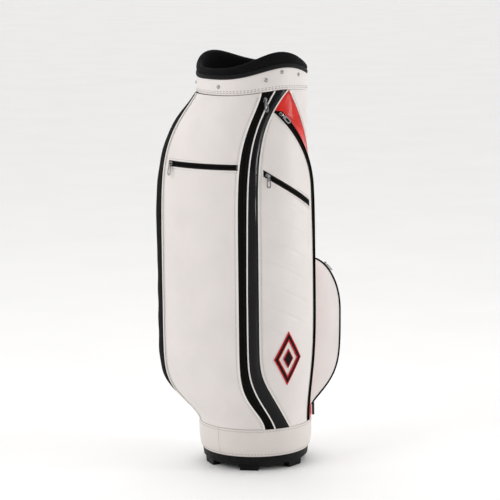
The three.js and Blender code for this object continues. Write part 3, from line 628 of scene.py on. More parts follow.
def panel_object(name, finish, left, right, radius, wall=PANEL, wave=0.35, wave_length=70.0,
                 depth=1.1, groove=0.55, extra=None, cut=None, **more):
    options = {k: more.pop(k) for k in ("low", "high", "step", "inset") if k in more}
    angle, levels, edge, ends = panel_grid(left, right, radius, **options)
    outer = surface(angle, levels, radius)
    lift = tuck(np.minimum(edge, ends), depth, groove)
    calm = 1 - bell(np.minimum(edge, ends), 14.0)
    seed = sum(map(ord, name))
    lift = lift + wave * calm * ripple(outer, wave_length, seed)
    if extra is not None:
        lift = lift + extra(angle, levels, edge, outer)
    outer = outer + normals(outer) * lift[..., None]
    made = sheet_object(name, outer, wall, finish, **more)
    if cut is not None:
        carve(made, cut)
    return made


def carve(made, cutter):
    change = made.modifiers.new("slot", "BOOLEAN")
    change.object = cutter
    change.solver = "EXACT"
    graph = bpy.context.evaluated_depsgraph_get()
    mesh = bpy.data.meshes.new_from_object(made.evaluated_get(graph))
    made.modifiers.clear()
    made.data = mesh
    bpy.data.objects.remove(cutter)
    mesh.set_sharp_from_angle(angle=math.radians(40))


def tube(path, out, radius, sides=10, flat=1.0):
    """A closed cord along a path; out is the outward direction at each point."""
    along = unit(np.gradient(path, axis=0))
    side = unit(np.cross(along, out))
    up = np.cross(side, along)
    t = 2 * np.pi * np.arange(sides) / sides
    ring = (
        np.cos(t)[None, :, None] * side[:, None, :] * radius
        + np.sin(t)[None, :, None] * up[:, None, :] * radius * flat
    )
    points = (path[:, None, :] + ring).reshape(-1, 3)
    count = len(path)
    j, i = np.mgrid[0 : count - 1, 0:sides]
    a, b = (j * sides + i).ravel(), (j * sides + (i + 1) % sides).ravel()
    faces = np.stack([a, b, b + sides, a + sides], -1).tolist()
    faces.append(list(range(sides))[::-1])
    faces.append([(count - 1) * sides + k for k in range(sides)])
    return points, faces


def tube_object(name, path, out, radius, finish, sides=10, flat=1.0, **more):
    points, faces = tube(path, out, radius, sides, flat)
    return mesh_object(name, points, faces, finish, sharp=50, **more)


# ---- stitches ----
STITCHES = {}


def stitch_seed():
    rings, sides = 4, 6
    points = [(-0.5, 0, 0)]
    for k in range(1, rings):
        t = math.pi * k / rings
        for s in range(sides):
            b = 2 * math.pi * s / sides
            points.append((
                -0.5 * math.cos(t),
                0.5 * math.sin(t) ** 0.6 * math.cos(b),
                0.5 * math.sin(t) ** 0.6 * math.sin(b),
            ))
    points.append((0.5, 0, 0))
    faces = []
    for s in range(sides):
        faces.append((0, 1 + (s + 1) % sides, 1 + s))
        for k in range(rings - 2):
            a, b = 1 + k * sides + s, 1 + k * sides + (s + 1) % sides
            faces.append((a, b, b + sides))
            faces.append((a, b + sides, a + sides))
        last = 1 + (rings - 2) * sides
        faces.append((last + s, last + (s + 1) % sides, len(points) - 1))
    return np.array(points), np.array(faces)


SEED_POINTS, SEED_FACES = stitch_seed()


def stitch(path, out, color="white", pitch=4.8, length=3.4, width=0.9, lift=0.12):
    path, out = np.asarray(path, float), np.asarray(out, float)
    gone = np.concatenate([[0], np.cumsum(np.linalg.norm(np.diff(path, axis=0), axis=-1))])
    at = np.arange(pitch / 2, gone[-1], pitch)
    spot = lambda values, s: np.stack([np.interp(s, gone, values[:, k]) for k in range(3)], -1)
    start, end = spot(path, at - length / 2), spot(path, at + length / 2)
    up = unit(spot(out, at))
    along = end - start
    size = np.linalg.norm(along, axis=-1, keepdims=True)
    along = along / np.maximum(size, 1e-6)
    side = np.cross(up, along)
    centre = (start + end) / 2 + up * lift
    p = SEED_POINTS
    points = (
        centre[:, None, :]
        + p[None, :, :1] * (along * size)[:, None, :]
        + p[None, :, 1:2] * side[:, None, :] * width
        + p[None, :, 2:3] * up[:, None, :] * width * 0.7
    )
    STITCHES.setdefault(color, []).append(points)


def surface_line(angle_of, z, radius, lift=0.0):
    """Points and outward directions along a line over the body's surface."""
    a = angle_of(z) + 0 * z
    p = surface(a, z, radius)
    across = surface(a + 0.4, z, radius) - surface(a - 0.4, z, radius)
    up = surface(a, z + 0.5, radius) - surface(a, z - 0.5, radius)
    n = unit(np.cross(across, up))
    return p + n * lift, n


def beside(edge, distance, radius=front_radius):
    """The line that runs that many millimetres to the right of an edge."""
    return lambda z: edge(z) + np.degrees(distance / radius(edge(z), z))


def finish_stitches():
    for color, groups in STITCHES.items():
        points = np.concatenate(groups)
        count = len(points)
        faces = SEED_FACES[None] + np.arange(count)[:, None, None] * len(SEED_POINTS)
        mesh_object(
            f"stitching_{color}", points.reshape(-1, 3), faces.reshape(-1, 3),
            f"thread_{color}", sharp=180, slot="white_piping" if color == "white" else "black_panel",
        )


# ---- zip let into a panel ----
def strip_grid(middle, half, angles, radius, lift, columns=9):
    """A strip across the body whose middle line is a height at each angle."""
    across = np.linspace(-half, half, columns)
    a = np.asarray(angles)[None, :] + 0 * across[:, None]
    z = middle(a) + across[:, None]
    p = polar(radius(a, z), a, z)
    return p + normals(p) * (lift + 0 * a)[..., None], across


def slot_cutter(middle, half, ends, radius):
    outer, _ = strip_grid(middle, half, np.linspace(*ends, 40), radius, 8.0)
    points, faces = shell(outer, 16.0)
    mesh = bpy.data.meshes.new("slot")
    mesh.from_pydata((points * MM).tolist(), [], faces.tolist())
    return linked("slot", mesh)


def zip_profile(s):
    """Relief across a concealed zip: two lips that meet over the coil, and the tape beside them."""
    return 0.55 * bell(np.abs(s) - 1.3, 1.1) - 0.7 * bell(s, 0.45)


def zip_tape(name, middle, half, ends, radius, stands):
    angles = np.linspace(ends[0] + 0.15, ends[1] - 0.15, 90)
    p, across = strip_grid(middle, half - 0.3, angles, radius, -0.7, columns=33)
    p = p + normals(p) * zip_profile(across)[:, None, None]
    sheet_object(name, p, 1.6, "black_panel", stands=stands)
    for s in (-4.4, 4.4):
        line, _ = strip_grid(lambda a: middle(a) + s, 0.5, angles, radius, -0.6, columns=3)
        stitch(line[1], normals(line)[1], "black", 3.6, 2.6, 0.6)


def welt(name, middle, half, ends, radius):
    """The folded leather edge round a zip's slot, and its line of stitches."""
    for part, s in (("low", -half - 0.5), ("high", half + 0.5)):
        angles = np.linspace(ends[0] - 0.3, ends[1] + 0.3, 90)
        line, _ = strip_grid(lambda a: middle(a) + s, 0.4, angles, radius, 0, columns=3)
        n = normals(line)[1]
        tube_object(f"{name}_welt_{part}", line[1] + n * 0.1, n, 0.9, "white_leather", 8, 0.7)
        away = math.copysign(3.2, s)
        line, _ = strip_grid(lambda a: middle(a) + s + away, 0.4, angles, radius, 0, columns=3)
        stitch(line[1], normals(line)[1], "white", 4.4, 3.0, 0.75)


pocket_middle = always(POCKET_ZIP[2])
slant_middle = lambda a: SLANT_Z - SLANT_DROP * np.maximum(0, a - SLANT_FROM) / (
    SLANT_TO - SLANT_FROM
)

# ---- left garment pocket ----
def face_waves(angle, z, edge, p):
    """The soft outer wall sags a little towards its foot."""
    calm = 1 - bell(edge, 40.0)
    low = bell(z - 150.0, 60.0)
    return calm * (0.5 * ripple(p, 190.0, 3) + low * 0.9 * ripple(p, 75.0, 8))


left_face = panel_object(
    "left_pocket_panel", "white_leather", always(REAR_CORNER), corner_angle,
    face_radius, extra=face_waves, groove=0.3, stands="left_pocket_face",
    cut=slot_cutter(pocket_middle, ZIP / 2, POCKET_ZIP[:2], face_radius),
)
zip_tape("pocket_zip_strip", pocket_middle, ZIP / 2, POCKET_ZIP[:2], face_radius, "pocket_zip_tape")
welt("pocket_zip", pocket_middle, ZIP / 2, POCKET_ZIP[:2], face_radius)

panel_object(
    "left_pocket_back", "black_panel", always(REAR_END), always(REAR_CORNER), rear_radius,
    wave=0.8, stands="left_pocket_gusset",
)


def band_relief(left, right):
    """A band of tape with a concealed zip along its middle."""
    def relief(angle, z, edge, p):
        width = np.radians(right(z) - left(z)) * np.linalg.norm(p[..., :2], axis=-1)
        middle = np.abs(width / 2 - edge)
        return zip_profile(middle) * np.clip(edge / 2.5, 0, 1)
    return relief


panel_object(
    "left_zip_strip", "black_panel", corner_angle, stripe_split, stripe_radius, step=0.9,
    wave=0.1, depth=1.2, groove=0.25, extra=band_relief(corner_angle, stripe_split),
    stands="left_zip_band",
)


def crinkle(angle, z, edge, p):
    """Puckers that gather towards the seams of the gloss band."""
    calm = np.clip(edge / 5.0, 0, 1)
    stretched = p * np.array([1.0, 1.0, 0.4])
    full = 1.7 * (1 - bell(edge, 8.0, 1.5))
    return full + calm * 0.5 * ripple(stretched, 34.0, 21)


panel_object(
    "gloss_band", "patent_leather", stripe_split, front_left, stripe_radius, step=2.0,
    wave=0.2, extra=crinkle, stands="gloss_stripe",
)


# ---- front pocket ----
def tip_height():
    z = np.linspace(BODY_TOP - 200, BODY_TOP, 600)
    closed = front_right(z) - front_left(z) < 2.4
    return float(z[np.argmax(closed)])


TIP = tip_height()
QUILT = {"pitch": 47.0, "slope": 0.52, "low": 285.0, "high": 575.0}


def quilting(angle, z, edge, p):
    """Faint lines of quilting that fall to the right, inside a seam beside the zip."""
    along = np.radians(angle) * (BODY_R_TOP + FRONT_BULGE)
    level = (z + QUILT["slope"] * along - QUILT["low"]) / QUILT["pitch"]
    line = np.abs(level - np.round(level)) * QUILT["pitch"]
    span = np.clip((z - QUILT["low"]) / 20, 0, 1) * np.clip((QUILT["high"] - z) / 20, 0, 1)
    inside = np.clip((front_right(z) - angle) / 6.0 - 0.9, 0, 1) * np.clip(edge / 9.0, 0, 1)
    seam = np.radians(front_right(z) - angle) * (BODY_R_TOP + FRONT_BULGE) - 13.0
    down = -1.0 * bell(line, 2.2) * span * inside
    # Below the end of the slanted zip the face gives way to the pull.
    slack = np.clip((angle - 6) / 10, 0, 1) * bell(z - SLANT_Z + SLANT_DROP, 55)
    return down - 0.4 * bell(seam, 1.1) * (z < TIP - 60) - 1.3 * slack


front_face = panel_object(
    "front_pocket_panel", "white_leather", front_left, front_right, front_radius,
    high=TIP, step=2.6, extra=quilting, groove=0.3, stands="front_pocket_face",
    cut=slot_cutter(slant_middle, SLANT_HALF, (SLANT_FROM, SLANT_TO), front_radius),
)
slant_ends = (SLANT_FROM, SLANT_TO)
zip_tape("slant_zip_strip", slant_middle, SLANT_HALF, slant_ends, front_radius, "slant_zip_tape")
welt("slant_zip", slant_middle, SLANT_HALF, slant_ends, front_radius)


def sunk(relief):
    """The zip lies a little lower than the panels beside it."""
    return lambda angle, z, edge, p: relief(angle, z, edge, p) - 0.9 * np.clip(edge / 2.0, 0, 1)


panel_object(
    "front_zip_strip", "black_panel", band_left, band_right, front_radius, high=TIP + 8,
    step=0.9, wave=0.05, depth=1.0, groove=0.2, extra=sunk(band_relief(band_left, band_right)),
    stands="front_zip_band",
)
panel_object(
    "red_side", "red_patent", band_right, red_edge, red_radius, high=BODY_TOP - 0.5, step=3.0,
    wave=0.5, wave_length=90.0, depth=1.6, stands="red_gusset",
)

# ---- right side and back ----
panel_object(
    "right_side", "white_leather", red_edge, always(BACK_SEAM), plain_radius,
    wave=0.45, stands="right_panel",
)
panel_object(
    "back_side", "white_leather", always(BACK_SEAM), always(360 + REAR_END), plain_radius,
    wave=0.45, stands="back_panel",
)


# ---- pipings ----
def piping(name, angle_of, radius, finish, thick, stands=(), low=BODY_LOW, high=BODY_TOP, lift=0.7):
    z = np.linspace(low, high, 160)
    path, out = surface_line(angle_of, z, radius, lift)
    tube_object(name, path, out, thick, finish, 10, 0.9, stands=stands)


piping("corner_piping", corner_angle, outer_radius, "white_piping", 1.5, "piping_corner")
piping("rear_piping", always(REAR_CORNER), outer_radius, "white_piping", 1.7, "piping_rear")
piping("stripe_piping", stripe_split, outer_radius, "white_piping", 1.6, "piping_stripe", lift=0.4)
piping("front_piping", front_left, outer_radius, "white_piping", 1.5, "piping_front", lift=0.5)
piping("edge_piping", band_right, front_radius, "black_panel", 1.5, high=TIP, lift=-0.1)
piping("right_piping", red_edge, plain_radius, "white_piping", 1.2, high=BODY_TOP - 2, lift=0.0)
for name, angle in (("back_seam_right", BACK_SEAM), ("back_seam_left", 360 + REAR_END)):
    piping(name, always(angle), plain_radius, "white_piping", 1.5, lift=0.2)

z_line = np.linspace(BODY_LOW + 4, BODY_TOP - 5, 400)
for edge, radius, shift, color in (
    (corner_angle, face_radius, -STITCH_ROW, "white"),
    (always(REAR_CORNER), face_radius, STITCH_ROW, "white"),
    (always(REAR_CORNER), rear_radius, -STITCH_ROW, "black"),
    (front_left, front_radius, STITCH_ROW, "white"),
    (red_edge, plain_radius, STITCH_ROW, "white"),
    (always(BACK_SEAM), plain_radius, -STITCH_ROW, "white"),
    (always(BACK_SEAM), plain_radius, STITCH_ROW, "white"),
    (always(360 + REAR_END), plain_radius, -STITCH_ROW, "white"),
):
    top = TIP - 10 if edge is front_left else BODY_TOP - 5
    z_row = z_line[z_line < top]
    reach = outer_radius if radius is face_radius else radius
    line, out = surface_line(beside(edge, shift, reach), z_row, radius, -0.3)
    stitch(line, out, color, width=0.75)
z_row = z_line[z_line < TIP - 22]
line, out = surface_line(beside(front_right, -STITCH_ROW), z_row, front_radius, -0.3)
stitch(line, out, "white", width=0.75)


# ---- rings: base band, collar, binding and rim ----
def ring_object(name, section, finish, steps=180, wave=None, sharp=55, **more):
    """section(angles) gives (count, points, 2) radii and heights, rising on the outer side."""
    angles = np.arange(steps) * 360.0 / steps
    rz = section(angles)
    count = rz.shape[1]
    p = polar(rz[..., 0], angles[:, None] + 0 * rz[..., 0], rz[..., 1])
    if wave is not None:
        p = wave(p)
    i, j = np.mgrid[0:steps, 0:count]
    a = (i * count + j).ravel()
    b = (i * count + (j + 1) % count).ravel()
    c = (((i + 1) % steps) * count + (j + 1) % count).ravel()
    d = (((i + 1) % steps) * count + j).ravel()
    faces = np.stack([a, d, c, b], -1)
    run = np.concatenate([[0], np.cumsum(np.linalg.norm(np.diff(rz[0], axis=0), axis=-1))])
    mirrored = np.minimum(angles, 360 - angles)
    uv = np.stack(
        np.broadcast_arrays(np.radians(mirrored)[:, None] * COLLAR_R, run[None, :]), -1
    )
    return mesh_object(
        name, p.reshape(-1, 3), faces, finish, uv=uv.reshape(-1, 2), sharp=sharp, **more
    )


def level_section(inner, low_of, high_of, out_of, count=22):
    """A ring with an outer face between two edges that turns in at both."""
    def section(angles):
        rz = np.empty((len(angles), count + 2, 2))
        low, high = low_of(angles), high_of(angles)
        share = (1 - np.cos(np.pi * np.arange(count) / (count - 1))) / 2
        for k, t in enumerate(share):
            z = mix(low, high, t)
            rz[:, k, 0] = out_of(t, np.minimum(z - low, high - z))
            rz[:, k, 1] = z
        rz[:, count] = np.stack([inner + 0 * angles, high], -1)
        rz[:, count + 1] = np.stack([inner + 0 * angles, low], -1)
        return rz
    return section


ring_object(
    "collar_cover",
    level_section(
        COLLAR_INNER, lambda a: collar_seam(a) + 0.2, lambda a: rim_low(a) - 0.2,
        lambda t, d: COLLAR_R + 0.9 * np.sin(np.pi * t) ** 0.5
        - 0.35 * bell(d, 1.2, 1.4) - 0.3 * bell(d - STITCH_ROW, 1.0) * (t < 0.5),
        34,
    ),
    "white_leather", stands="collar_band",
)
around = np.linspace(0, 360, 900)
for lift in (4.6, 8.4):
    z = collar_seam(around) + lift
    stitch(polar(COLLAR_R + 0.7, around, z), polar(1.0, around, 0 * z), "white", 7.6, 4.4, 1.25)

ring_object(
    "rim_tape",
    level_section(
        COLLAR_INNER, rim_low, lambda a: rim_low(a) + BINDING,
        lambda t, d: COLLAR_R + 0.4 + 1.5 * np.sin(np.pi * t) ** 0.6, 14,
    ),
    "binding", stands="rim_binding",
)
z = rim_low(around) + 1.6
stitch(polar(COLLAR_R + 1.2, around, z), polar(1.0, around, 0 * z), "black", 3.8, 2.7, 0.6)


def rim_section(angles):
    low = rim_low(angles) + BINDING
    top = rim_top(angles)
    inner = 113.8
    shape = [
        (inner, RIM_LOW - 1), (inner, low), (COLLAR_R - 0.2, low - 0.4), (COLLAR_R + 1.1, low + 2.6),
        (COLLAR_R + 1.6, mix(low, top, 0.3)), (COLLAR_R + 0.6, mix(low, top, 0.62)),
        (COLLAR_R - 1.6, mix(low, top, 0.86)), (inner + 0.4, top - 0.4), (inner - 2.6, top + 0.1),
        (inner - 6.0, top - 1.2), (inner - 8.8, top - 5.5), (inner - 9.8, top - 12.0),
        (inner - 9.9, mix(top - 12.0, RIM_LOW - 1, 0.5)), (inner - 9.6, RIM_LOW - 1),
    ]
    corners = np.stack([np.stack([r + 0 * low, z + 0 * low], -1) for r, z in shape], 1)
    knots = np.arange(corners.shape[1])
    fine = np.linspace(0, knots[-1], 58)
    base = np.floor(fine).astype(int).clip(0, knots[-1] - 1)
    w = (fine - base)[None, :, None]
    w = mix(w, w * w * (3 - 2 * w), 0.25)
    return mix(corners[:, base], corners[:, base + 1], w)


def rim_waves(p):
    flat = p * np.array([1.0, 1.0, 0.6])
    out = unit(p * np.array([1.0, 1.0, 0.0]))
    outside = np.clip((np.linalg.norm(p[..., :2], axis=-1) - 112) / 4, 0, 1)
    return p + out * (outside * 0.5 * ripple(flat, 55.0, 5))[..., None]


rim = ring_object("rim_cushion", rim_section, "rim_mesh", 220, rim_waves, stands="rim_pad")

ring_object(
    "base_cover",
    level_section(
        113.9, always(BAND_BOTTOM + 0.4), always(BAND_TOP - 0.3),
        lambda t, d: np.interp(
            t, [0, 0.2, 0.44, 1], [116.6, 120.4, BODY_R_LOW + 0.1, BODY_R_LOW + 0.3]
        ) - 0.8 * bell(d, 1.5, 1.4) - 0.35 * bell(d - 4.6, 1.0),
        44,
    ),
    "base_leather", stands="base_band",
)
for z0, r0 in ((BAND_TOP - 4.9, BODY_R_LOW + 0.05), (BAND_BOTTOM + 5.2, 118.1)):
    z = z0 + 0 * around
    stitch(polar(r0, around, z), polar(1.0, around, 0 * z), "white", 7.2, 4.2, 1.15)
SEAM_ANGLE = -77.0
z_seam = np.linspace(BAND_BOTTOM + 2, BAND_TOP - 1.5, 40)
r_seam = np.interp(z_seam, [BAND_BOTTOM, 44.5, 59.2, BAND_TOP], [116.8, 120.6, 122.8, 123.0])
path = polar(r_seam - 0.3, SEAM_ANGLE + 0 * z_seam, z_seam)
out = polar(1.0 + 0 * z_seam, SEAM_ANGLE + 0 * z_seam, 0 * z_seam)
tube_object("base_seam", path, out, 1.3, "base_leather", 8, 0.8)

# ---- rain hood studs ----
def turned(name, profile, finish, matrix, stands, steps=32):
    """A solid turned about local Y from (radius, out) points that start on the axis."""
    t = 2 * np.pi * np.arange(steps) / steps
    profile = np.asarray(profile, float)
    body_rows = profile[1:-1]
    points = [(0, profile[0, 1], 0)]
    for r, h in body_rows:
        points += [(r * math.cos(a), h, r * math.sin(a)) for a in t]
    points.append((0, profile[-1, 1], 0))
    faces = []
    last = len(points) - 1
    rows = len(body_rows)
    for s in range(steps):
        n = (s + 1) % steps
        faces.append((0, 1 + s, 1 + n))
        for k in range(rows - 1):
            a, b = 1 + k * steps + s, 1 + k * steps + n
            faces.append((a, a + steps, b + steps, b))
        faces.append((last, 1 + (rows - 1) * steps + n, 1 + (rows - 1) * steps + s))
    p = np.asarray(points) @ np.asarray(matrix)[:3, :3].T + np.asarray(matrix)[:3, 3]
    return mesh_object(name, p, faces, finish, sharp=50, stands=stands)


def frame_at(place, outwards):
    y = Vector(outwards).normalized()
    x = -Vector((0, 0, 1)).cross(y).normalized()
    z = x.cross(y).normalized()
    m = Matrix((x, y, z)).transposed().to_4x4()
    m.translation = Vector(place)
    return m


STUDS = [(-73, 15), (-22, 18), (-4, 9), (20, 12), (73, 15), (125, 15), (-125, 15)]
STUD = [
    (0, -0.6), (4.1, -0.6), (4.3, 0.3), (4.1, 0.8), (3.5, 1.0), (3.3, 0.9), (3.0, 1.5),
    (2.3, 2.3), (1.3, 2.8), (0.5, 2.95), (0, 3.0),
]
for k, (angle, drop) in enumerate(STUDS, 1):
    place = polar(COLLAR_R + 0.9, float(angle), float(rim_low(angle) - drop))
    turned(
        f"stud_{k}", STUD, "chrome", frame_at(place, polar(1.0, float(angle), 0.0)),
        stands=f"hood_stud_{k}",
    )


# ---- ball pocket ----
def ball_depth(z):
    body = BODY_R_LOW * 0.72
    low = 1 - bell(np.maximum(0, z - BALL_BOTTOM), 48, 1.4)
    middle = BALL_TOP - 122
    fall = 1 - ((z - middle) / (BALL_TOP - middle)) ** 2
    high = np.where(z > middle, np.maximum(0, fall) ** 0.6, 1.0)
    return body + (BALL_DEPTH - body) * low * high


def ball_point(share, inset, y):
    low, high = BALL_BOTTOM + inset, BALL_TOP - inset
    x = ball_depth(mix(BALL_BOTTOM, BALL_TOP, share)) - inset
    return np.stack(np.broadcast_arrays(x, y, mix(low, high, share)), -1)


BALL_SHARES = (1 - np.cos(np.pi * np.linspace(0.012, 0.988, 90))) / 2
BALL_LIP = 10.0
BALL_ROUND = 7.0


BALL_TAPE_END = ZIP - BALL_HALF + 3.0


def ball_wrap(inset, y, wave):
    p = ball_point(BALL_SHARES[:, None], inset[None, :], y[None, :])
    return p + normals(p) * (wave * ripple(p, 80.0, 31))[..., None]


def ball_face():
    """The front wall runs from the zip over the far edge, with a lip on the far side."""
    near = BALL_TAPE_END + stations(BALL_HALF - BALL_ROUND - BALL_TAPE_END, 4.5)
    crown = -1.6 * np.sqrt(np.clip(1 - (near / (BALL_HALF - BALL_ROUND)) ** 2, 0, 1))
    crown = crown + 1.6 * bell(near - BALL_TAPE_END, 2.0, 1)
    t = np.radians(np.linspace(90, 0, 10))[1:]
    lip = np.linspace(BALL_ROUND, BALL_LIP, 4)[1:]
    inset = np.concatenate([crown, BALL_ROUND * (1 - np.sin(t)), lip])
    y = np.concatenate([near, BALL_HALF - BALL_ROUND * (1 - np.cos(t)), BALL_HALF + 0 * lip])
    calm = np.clip(np.minimum(y - BALL_TAPE_END, BALL_HALF - y) / 25, 0, 1)
    return ball_wrap(inset, y, 0.7 * calm[None, :])


ball_front = sheet_object(
    "ball_pocket_front", ball_face(), 3.0, "white_leather", stands="ball_pocket_face"
)


def ball_side(sign, start, name, stands):
    """A side wall from a distance inside the outline back to the body."""
    z_line = mix(BALL_BOTTOM + start, BALL_TOP - start, BALL_SHARES)
    x_out = ball_depth(mix(BALL_BOTTOM, BALL_TOP, BALL_SHARES)) - start
    x_in = np.minimum(x_out - 1.0, 76.0)
    share = np.concatenate([[0, 0.006, 0.015, 0.03, 0.05, 0.08], np.linspace(0.12, 1, 20)])
    x = mix(x_out[:, None], x_in[:, None], share[None, :])
    z = z_line[:, None] + 0 * x
    dip = -1.2 * bell(x_out[:, None] - x, 2.0)
    soft = 0.6 * ripple(np.stack([x, 0 * x, z], -1), 70.0, 41)
    bulge = 1.5 * np.sin(np.pi * share)[None, :] + soft * np.clip(share * 6, 0, 1)[None, :]
    p = np.stack([x, sign * (BALL_HALF + dip + bulge), z], -1)
    if sign < 0:
        p = p[:, ::-1]
    return sheet_object(name, p, 2.6, "white_leather", stands=stands)


ball_side(-1, 0.8, "ball_pocket_near", "ball_pocket_near_side")
ball_side(1, BALL_LIP + 0.3, "ball_pocket_far", "ball_pocket_far_side")
across = np.linspace(0.2 - BALL_HALF, BALL_TAPE_END - 0.2, 33)
relief = zip_profile(across - (BALL_TAPE_END - BALL_HALF) / 2)
sheet_object(
    "ball_zip_strip", ball_wrap(0.4 - relief, across, 0.0), 1.6, "black_panel",
    stands="ball_zip_tape",
)


def ball_edge(name, y, sign, thick, finish, inset=0.0):
    path = ball_point(BALL_SHARES, inset, y + 0 * BALL_SHARES)
    out = np.gradient(path, axis=0) @ np.array([[0, 0, -1.0], [0, 0, 0], [1.0, 0, 0]])
    out = unit(unit(out) + np.array([0, sign * 0.8, 0]))
    tube_object(name, path, out, thick, finish)
    return path, out


ball_edge("ball_piping_near", -BALL_HALF, -1, 1.6, "black_panel")
ball_edge("ball_piping_far", BALL_HALF - 1.8, 1, 1.5, "black_panel", 1.8)
ball_edge("ball_piping_zip", BALL_TAPE_END, 0, 1.2, "white_piping")

# ---- emblem: a plain upright diamond ----
EMBLEM_ANGLE, EMBLEM_Z = -5.0, BAND_TOP + 154.0
EMBLEM_R = BODY_R_LOW + FRONT_BULGE


def flat_patch(name, outline, holes, lift, wall, finish, stands=""):
    """A cut-out laid on the front pocket; outlines are (across, up) in millimetres."""
    curve = bpy.data.curves.new(name, "CURVE")
    curve.dimensions = "2D"
    curve.fill_mode = "BOTH"
    for ring_points in [outline, *holes]:
        spline = curve.splines.new("POLY")
        spline.points.add(len(ring_points) - 1)
        for point, (x, y) in zip(spline.points, ring_points):
            point.co = (x, y, 0, 1)
        spline.use_cyclic_u = True
    curve.extrude = wall / 2
    curve.bevel_depth = 0.25
    flat = linked(name + "_flat", curve)
    change = bpy.context.evaluated_depsgraph_get()
    mesh = bpy.data.meshes.new_from_object(flat.evaluated_get(change))
    bpy.data.objects.remove(flat)
    co = np.empty(len(mesh.vertices) * 3)
    mesh.vertices.foreach_get("co", co)
    co = co.reshape(-1, 3)
    angle = EMBLEM_ANGLE + np.degrees(co[:, 0] / EMBLEM_R)
    z = EMBLEM_Z + co[:, 1]
    r = front_radius(angle, z) + lift + co[:, 2]
    mesh.vertices.foreach_set("co", (polar(r, angle, z) * MM).ravel())
    mesh.update()
    mesh.materials.clear()
    return piece(name, mesh, finish, stands, "emblem")


def diamond(width, height, count=12):
    corners = [(0, -height / 2), (width / 2, 0), (0, height / 2), (-width / 2, 0)]
    out = []
    for k in range(4):
        a, b = corners[k], corners[(k + 1) % 4]
        out += [(mix(a[0], b[0], t / count), mix(a[1], b[1], t / count)) for t in range(count)]
    return out


flat_patch("emblem_edge", diamond(69, 117), [diamond(46, 78)], 0.7, 1.0, "emblem_red", "emblem_patch")
flat_patch("emblem_frame", diamond(63, 107), [diamond(52, 88)], 1.3, 0.8, "emblem")
flat_patch("emblem_center_edge", diamond(25, 42), [], 0.7, 1.0, "emblem_red")
flat_patch("emblem_center", diamond(20, 34), [], 1.3, 0.8, "emblem")

# ---- handle and its anchors ----
BACK = 176.0
ACROSS_BACK = np.array([cosine(BACK), np.sin(np.radians(BACK)), 0])
HANDLE_LOW, HANDLE_HIGH = BODY_TOP - 270.0, BODY_TOP - 90.0
PATCH_STITCH = 3.2


def back_point(out, z):
    r = float(body_radius(z)) + out
    return polar(r, BACK, float(z))


def catmull(points, per=16):
    p = np.asarray(points)
    p = np.concatenate([[2 * p[0] - p[1]], p, [2 * p[-1] - p[-2]]])
    out = []
    for k in range(1, len(p) - 2):
        for t in np.arange(per) / per:
            a, b, c, d = p[k - 1 : k + 3]
            out.append(0.5 * (
                2 * b + (c - a) * t + (2 * a - 5 * b + 4 * c - d) * t**2
                + (3 * b - a - 3 * c + d) * t**3
            ))
    out.append(p[-2])
    return np.array(out)


handle_path = catmull([
    back_point(out, z) for out, z in (
        (9, HANDLE_LOW), (31, HANDLE_LOW + 22), (44, (HANDLE_LOW + HANDLE_HIGH) / 2),
        (31, HANDLE_HIGH - 22), (9, HANDLE_HIGH),
    )
])
handle_out = unit(np.cross(np.gradient(handle_path, axis=0), ACROSS_BACK))
handle_out *= np.sign(np.sum(handle_out * polar(1.0, BACK, 0.0), -1, keepdims=True))
handle = tube_object(
    "handle_grip", handle_path, handle_out, 13.0, "handle_leather", 28, 0.34, stands="carry_handle"
)
for s in (-9.5, 9.5):
    stitch(handle_path + ACROSS_BACK * s + handle_out * 2.9, handle_out, "black", 4.2, 3.0, 0.8)


def rounded_patch(name, centre, width, height, thick, stands):
    """A sewn-on leather patch with softened edges and a line of stitches round it."""
    y = Vector(polar(1.0, BACK, 0.0))
    m = frame_at(centre, y)
    u = stations(width, 4.0) - width / 2
    v = stations(height, 4.0) - height / 2
    x, z = np.meshgrid(u, v)
    d = np.minimum(width / 2 - np.abs(x), height / 2 - np.abs(z))
    h = thick - 1.2 * bell(d, 1.3, 1.5) - 0.3 * bell(d - PATCH_STITCH, 0.8)
    axes = np.asarray(m)[:3, :3]
    p = np.stack([x, h, -z], -1) @ axes.T + np.asarray(m)[:3, 3]
    if np.dot(normals(p)[5, 5], y) < 0:
        p = p[:, ::-1]
    sheet_object(name, p, thick + 1.5, "handle_leather", stands=stands)
    loop = [(-1, -1), (1, -1), (1, 1), (-1, 1), (-1, -1)]
    w, k = width / 2 - PATCH_STITCH, height / 2 - PATCH_STITCH
    ring_points = np.array([(a * w, thick - 0.25, b * k) for a, b in loop]) @ axes.T
    ring_points = ring_points + np.asarray(m)[:3, 3]
    dense = np.concatenate([
        mix(ring_points[i], ring_points[i + 1], np.linspace(0, 1, 30)[:-1, None]) for i in range(4)
    ])
    stitch(dense, np.repeat([np.asarray(y)], len(dense), 0), "black", 3.8, 2.7, 0.7)


for label, z in (("low", HANDLE_LOW), ("high", HANDLE_HIGH)):
    rounded_patch(f"handle_patch_{label}", back_point(0.3, z), 34, 36, 3.0, f"handle_anchor_{label}")

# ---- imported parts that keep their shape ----
def keep(name, finish, bevel=0.0, segments=2):
    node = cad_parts[name]
    node.data.materials.clear()
    node.data.materials.append(FINISH[finish])
    if bevel:
        change = node.modifiers.new("edge", "BEVEL")
        change.width = bevel * MM
        change.segments = segments
        change.limit_method = "ANGLE"
        change.angle_limit = math.radians(35)
        change.harden_normals = False
    return node


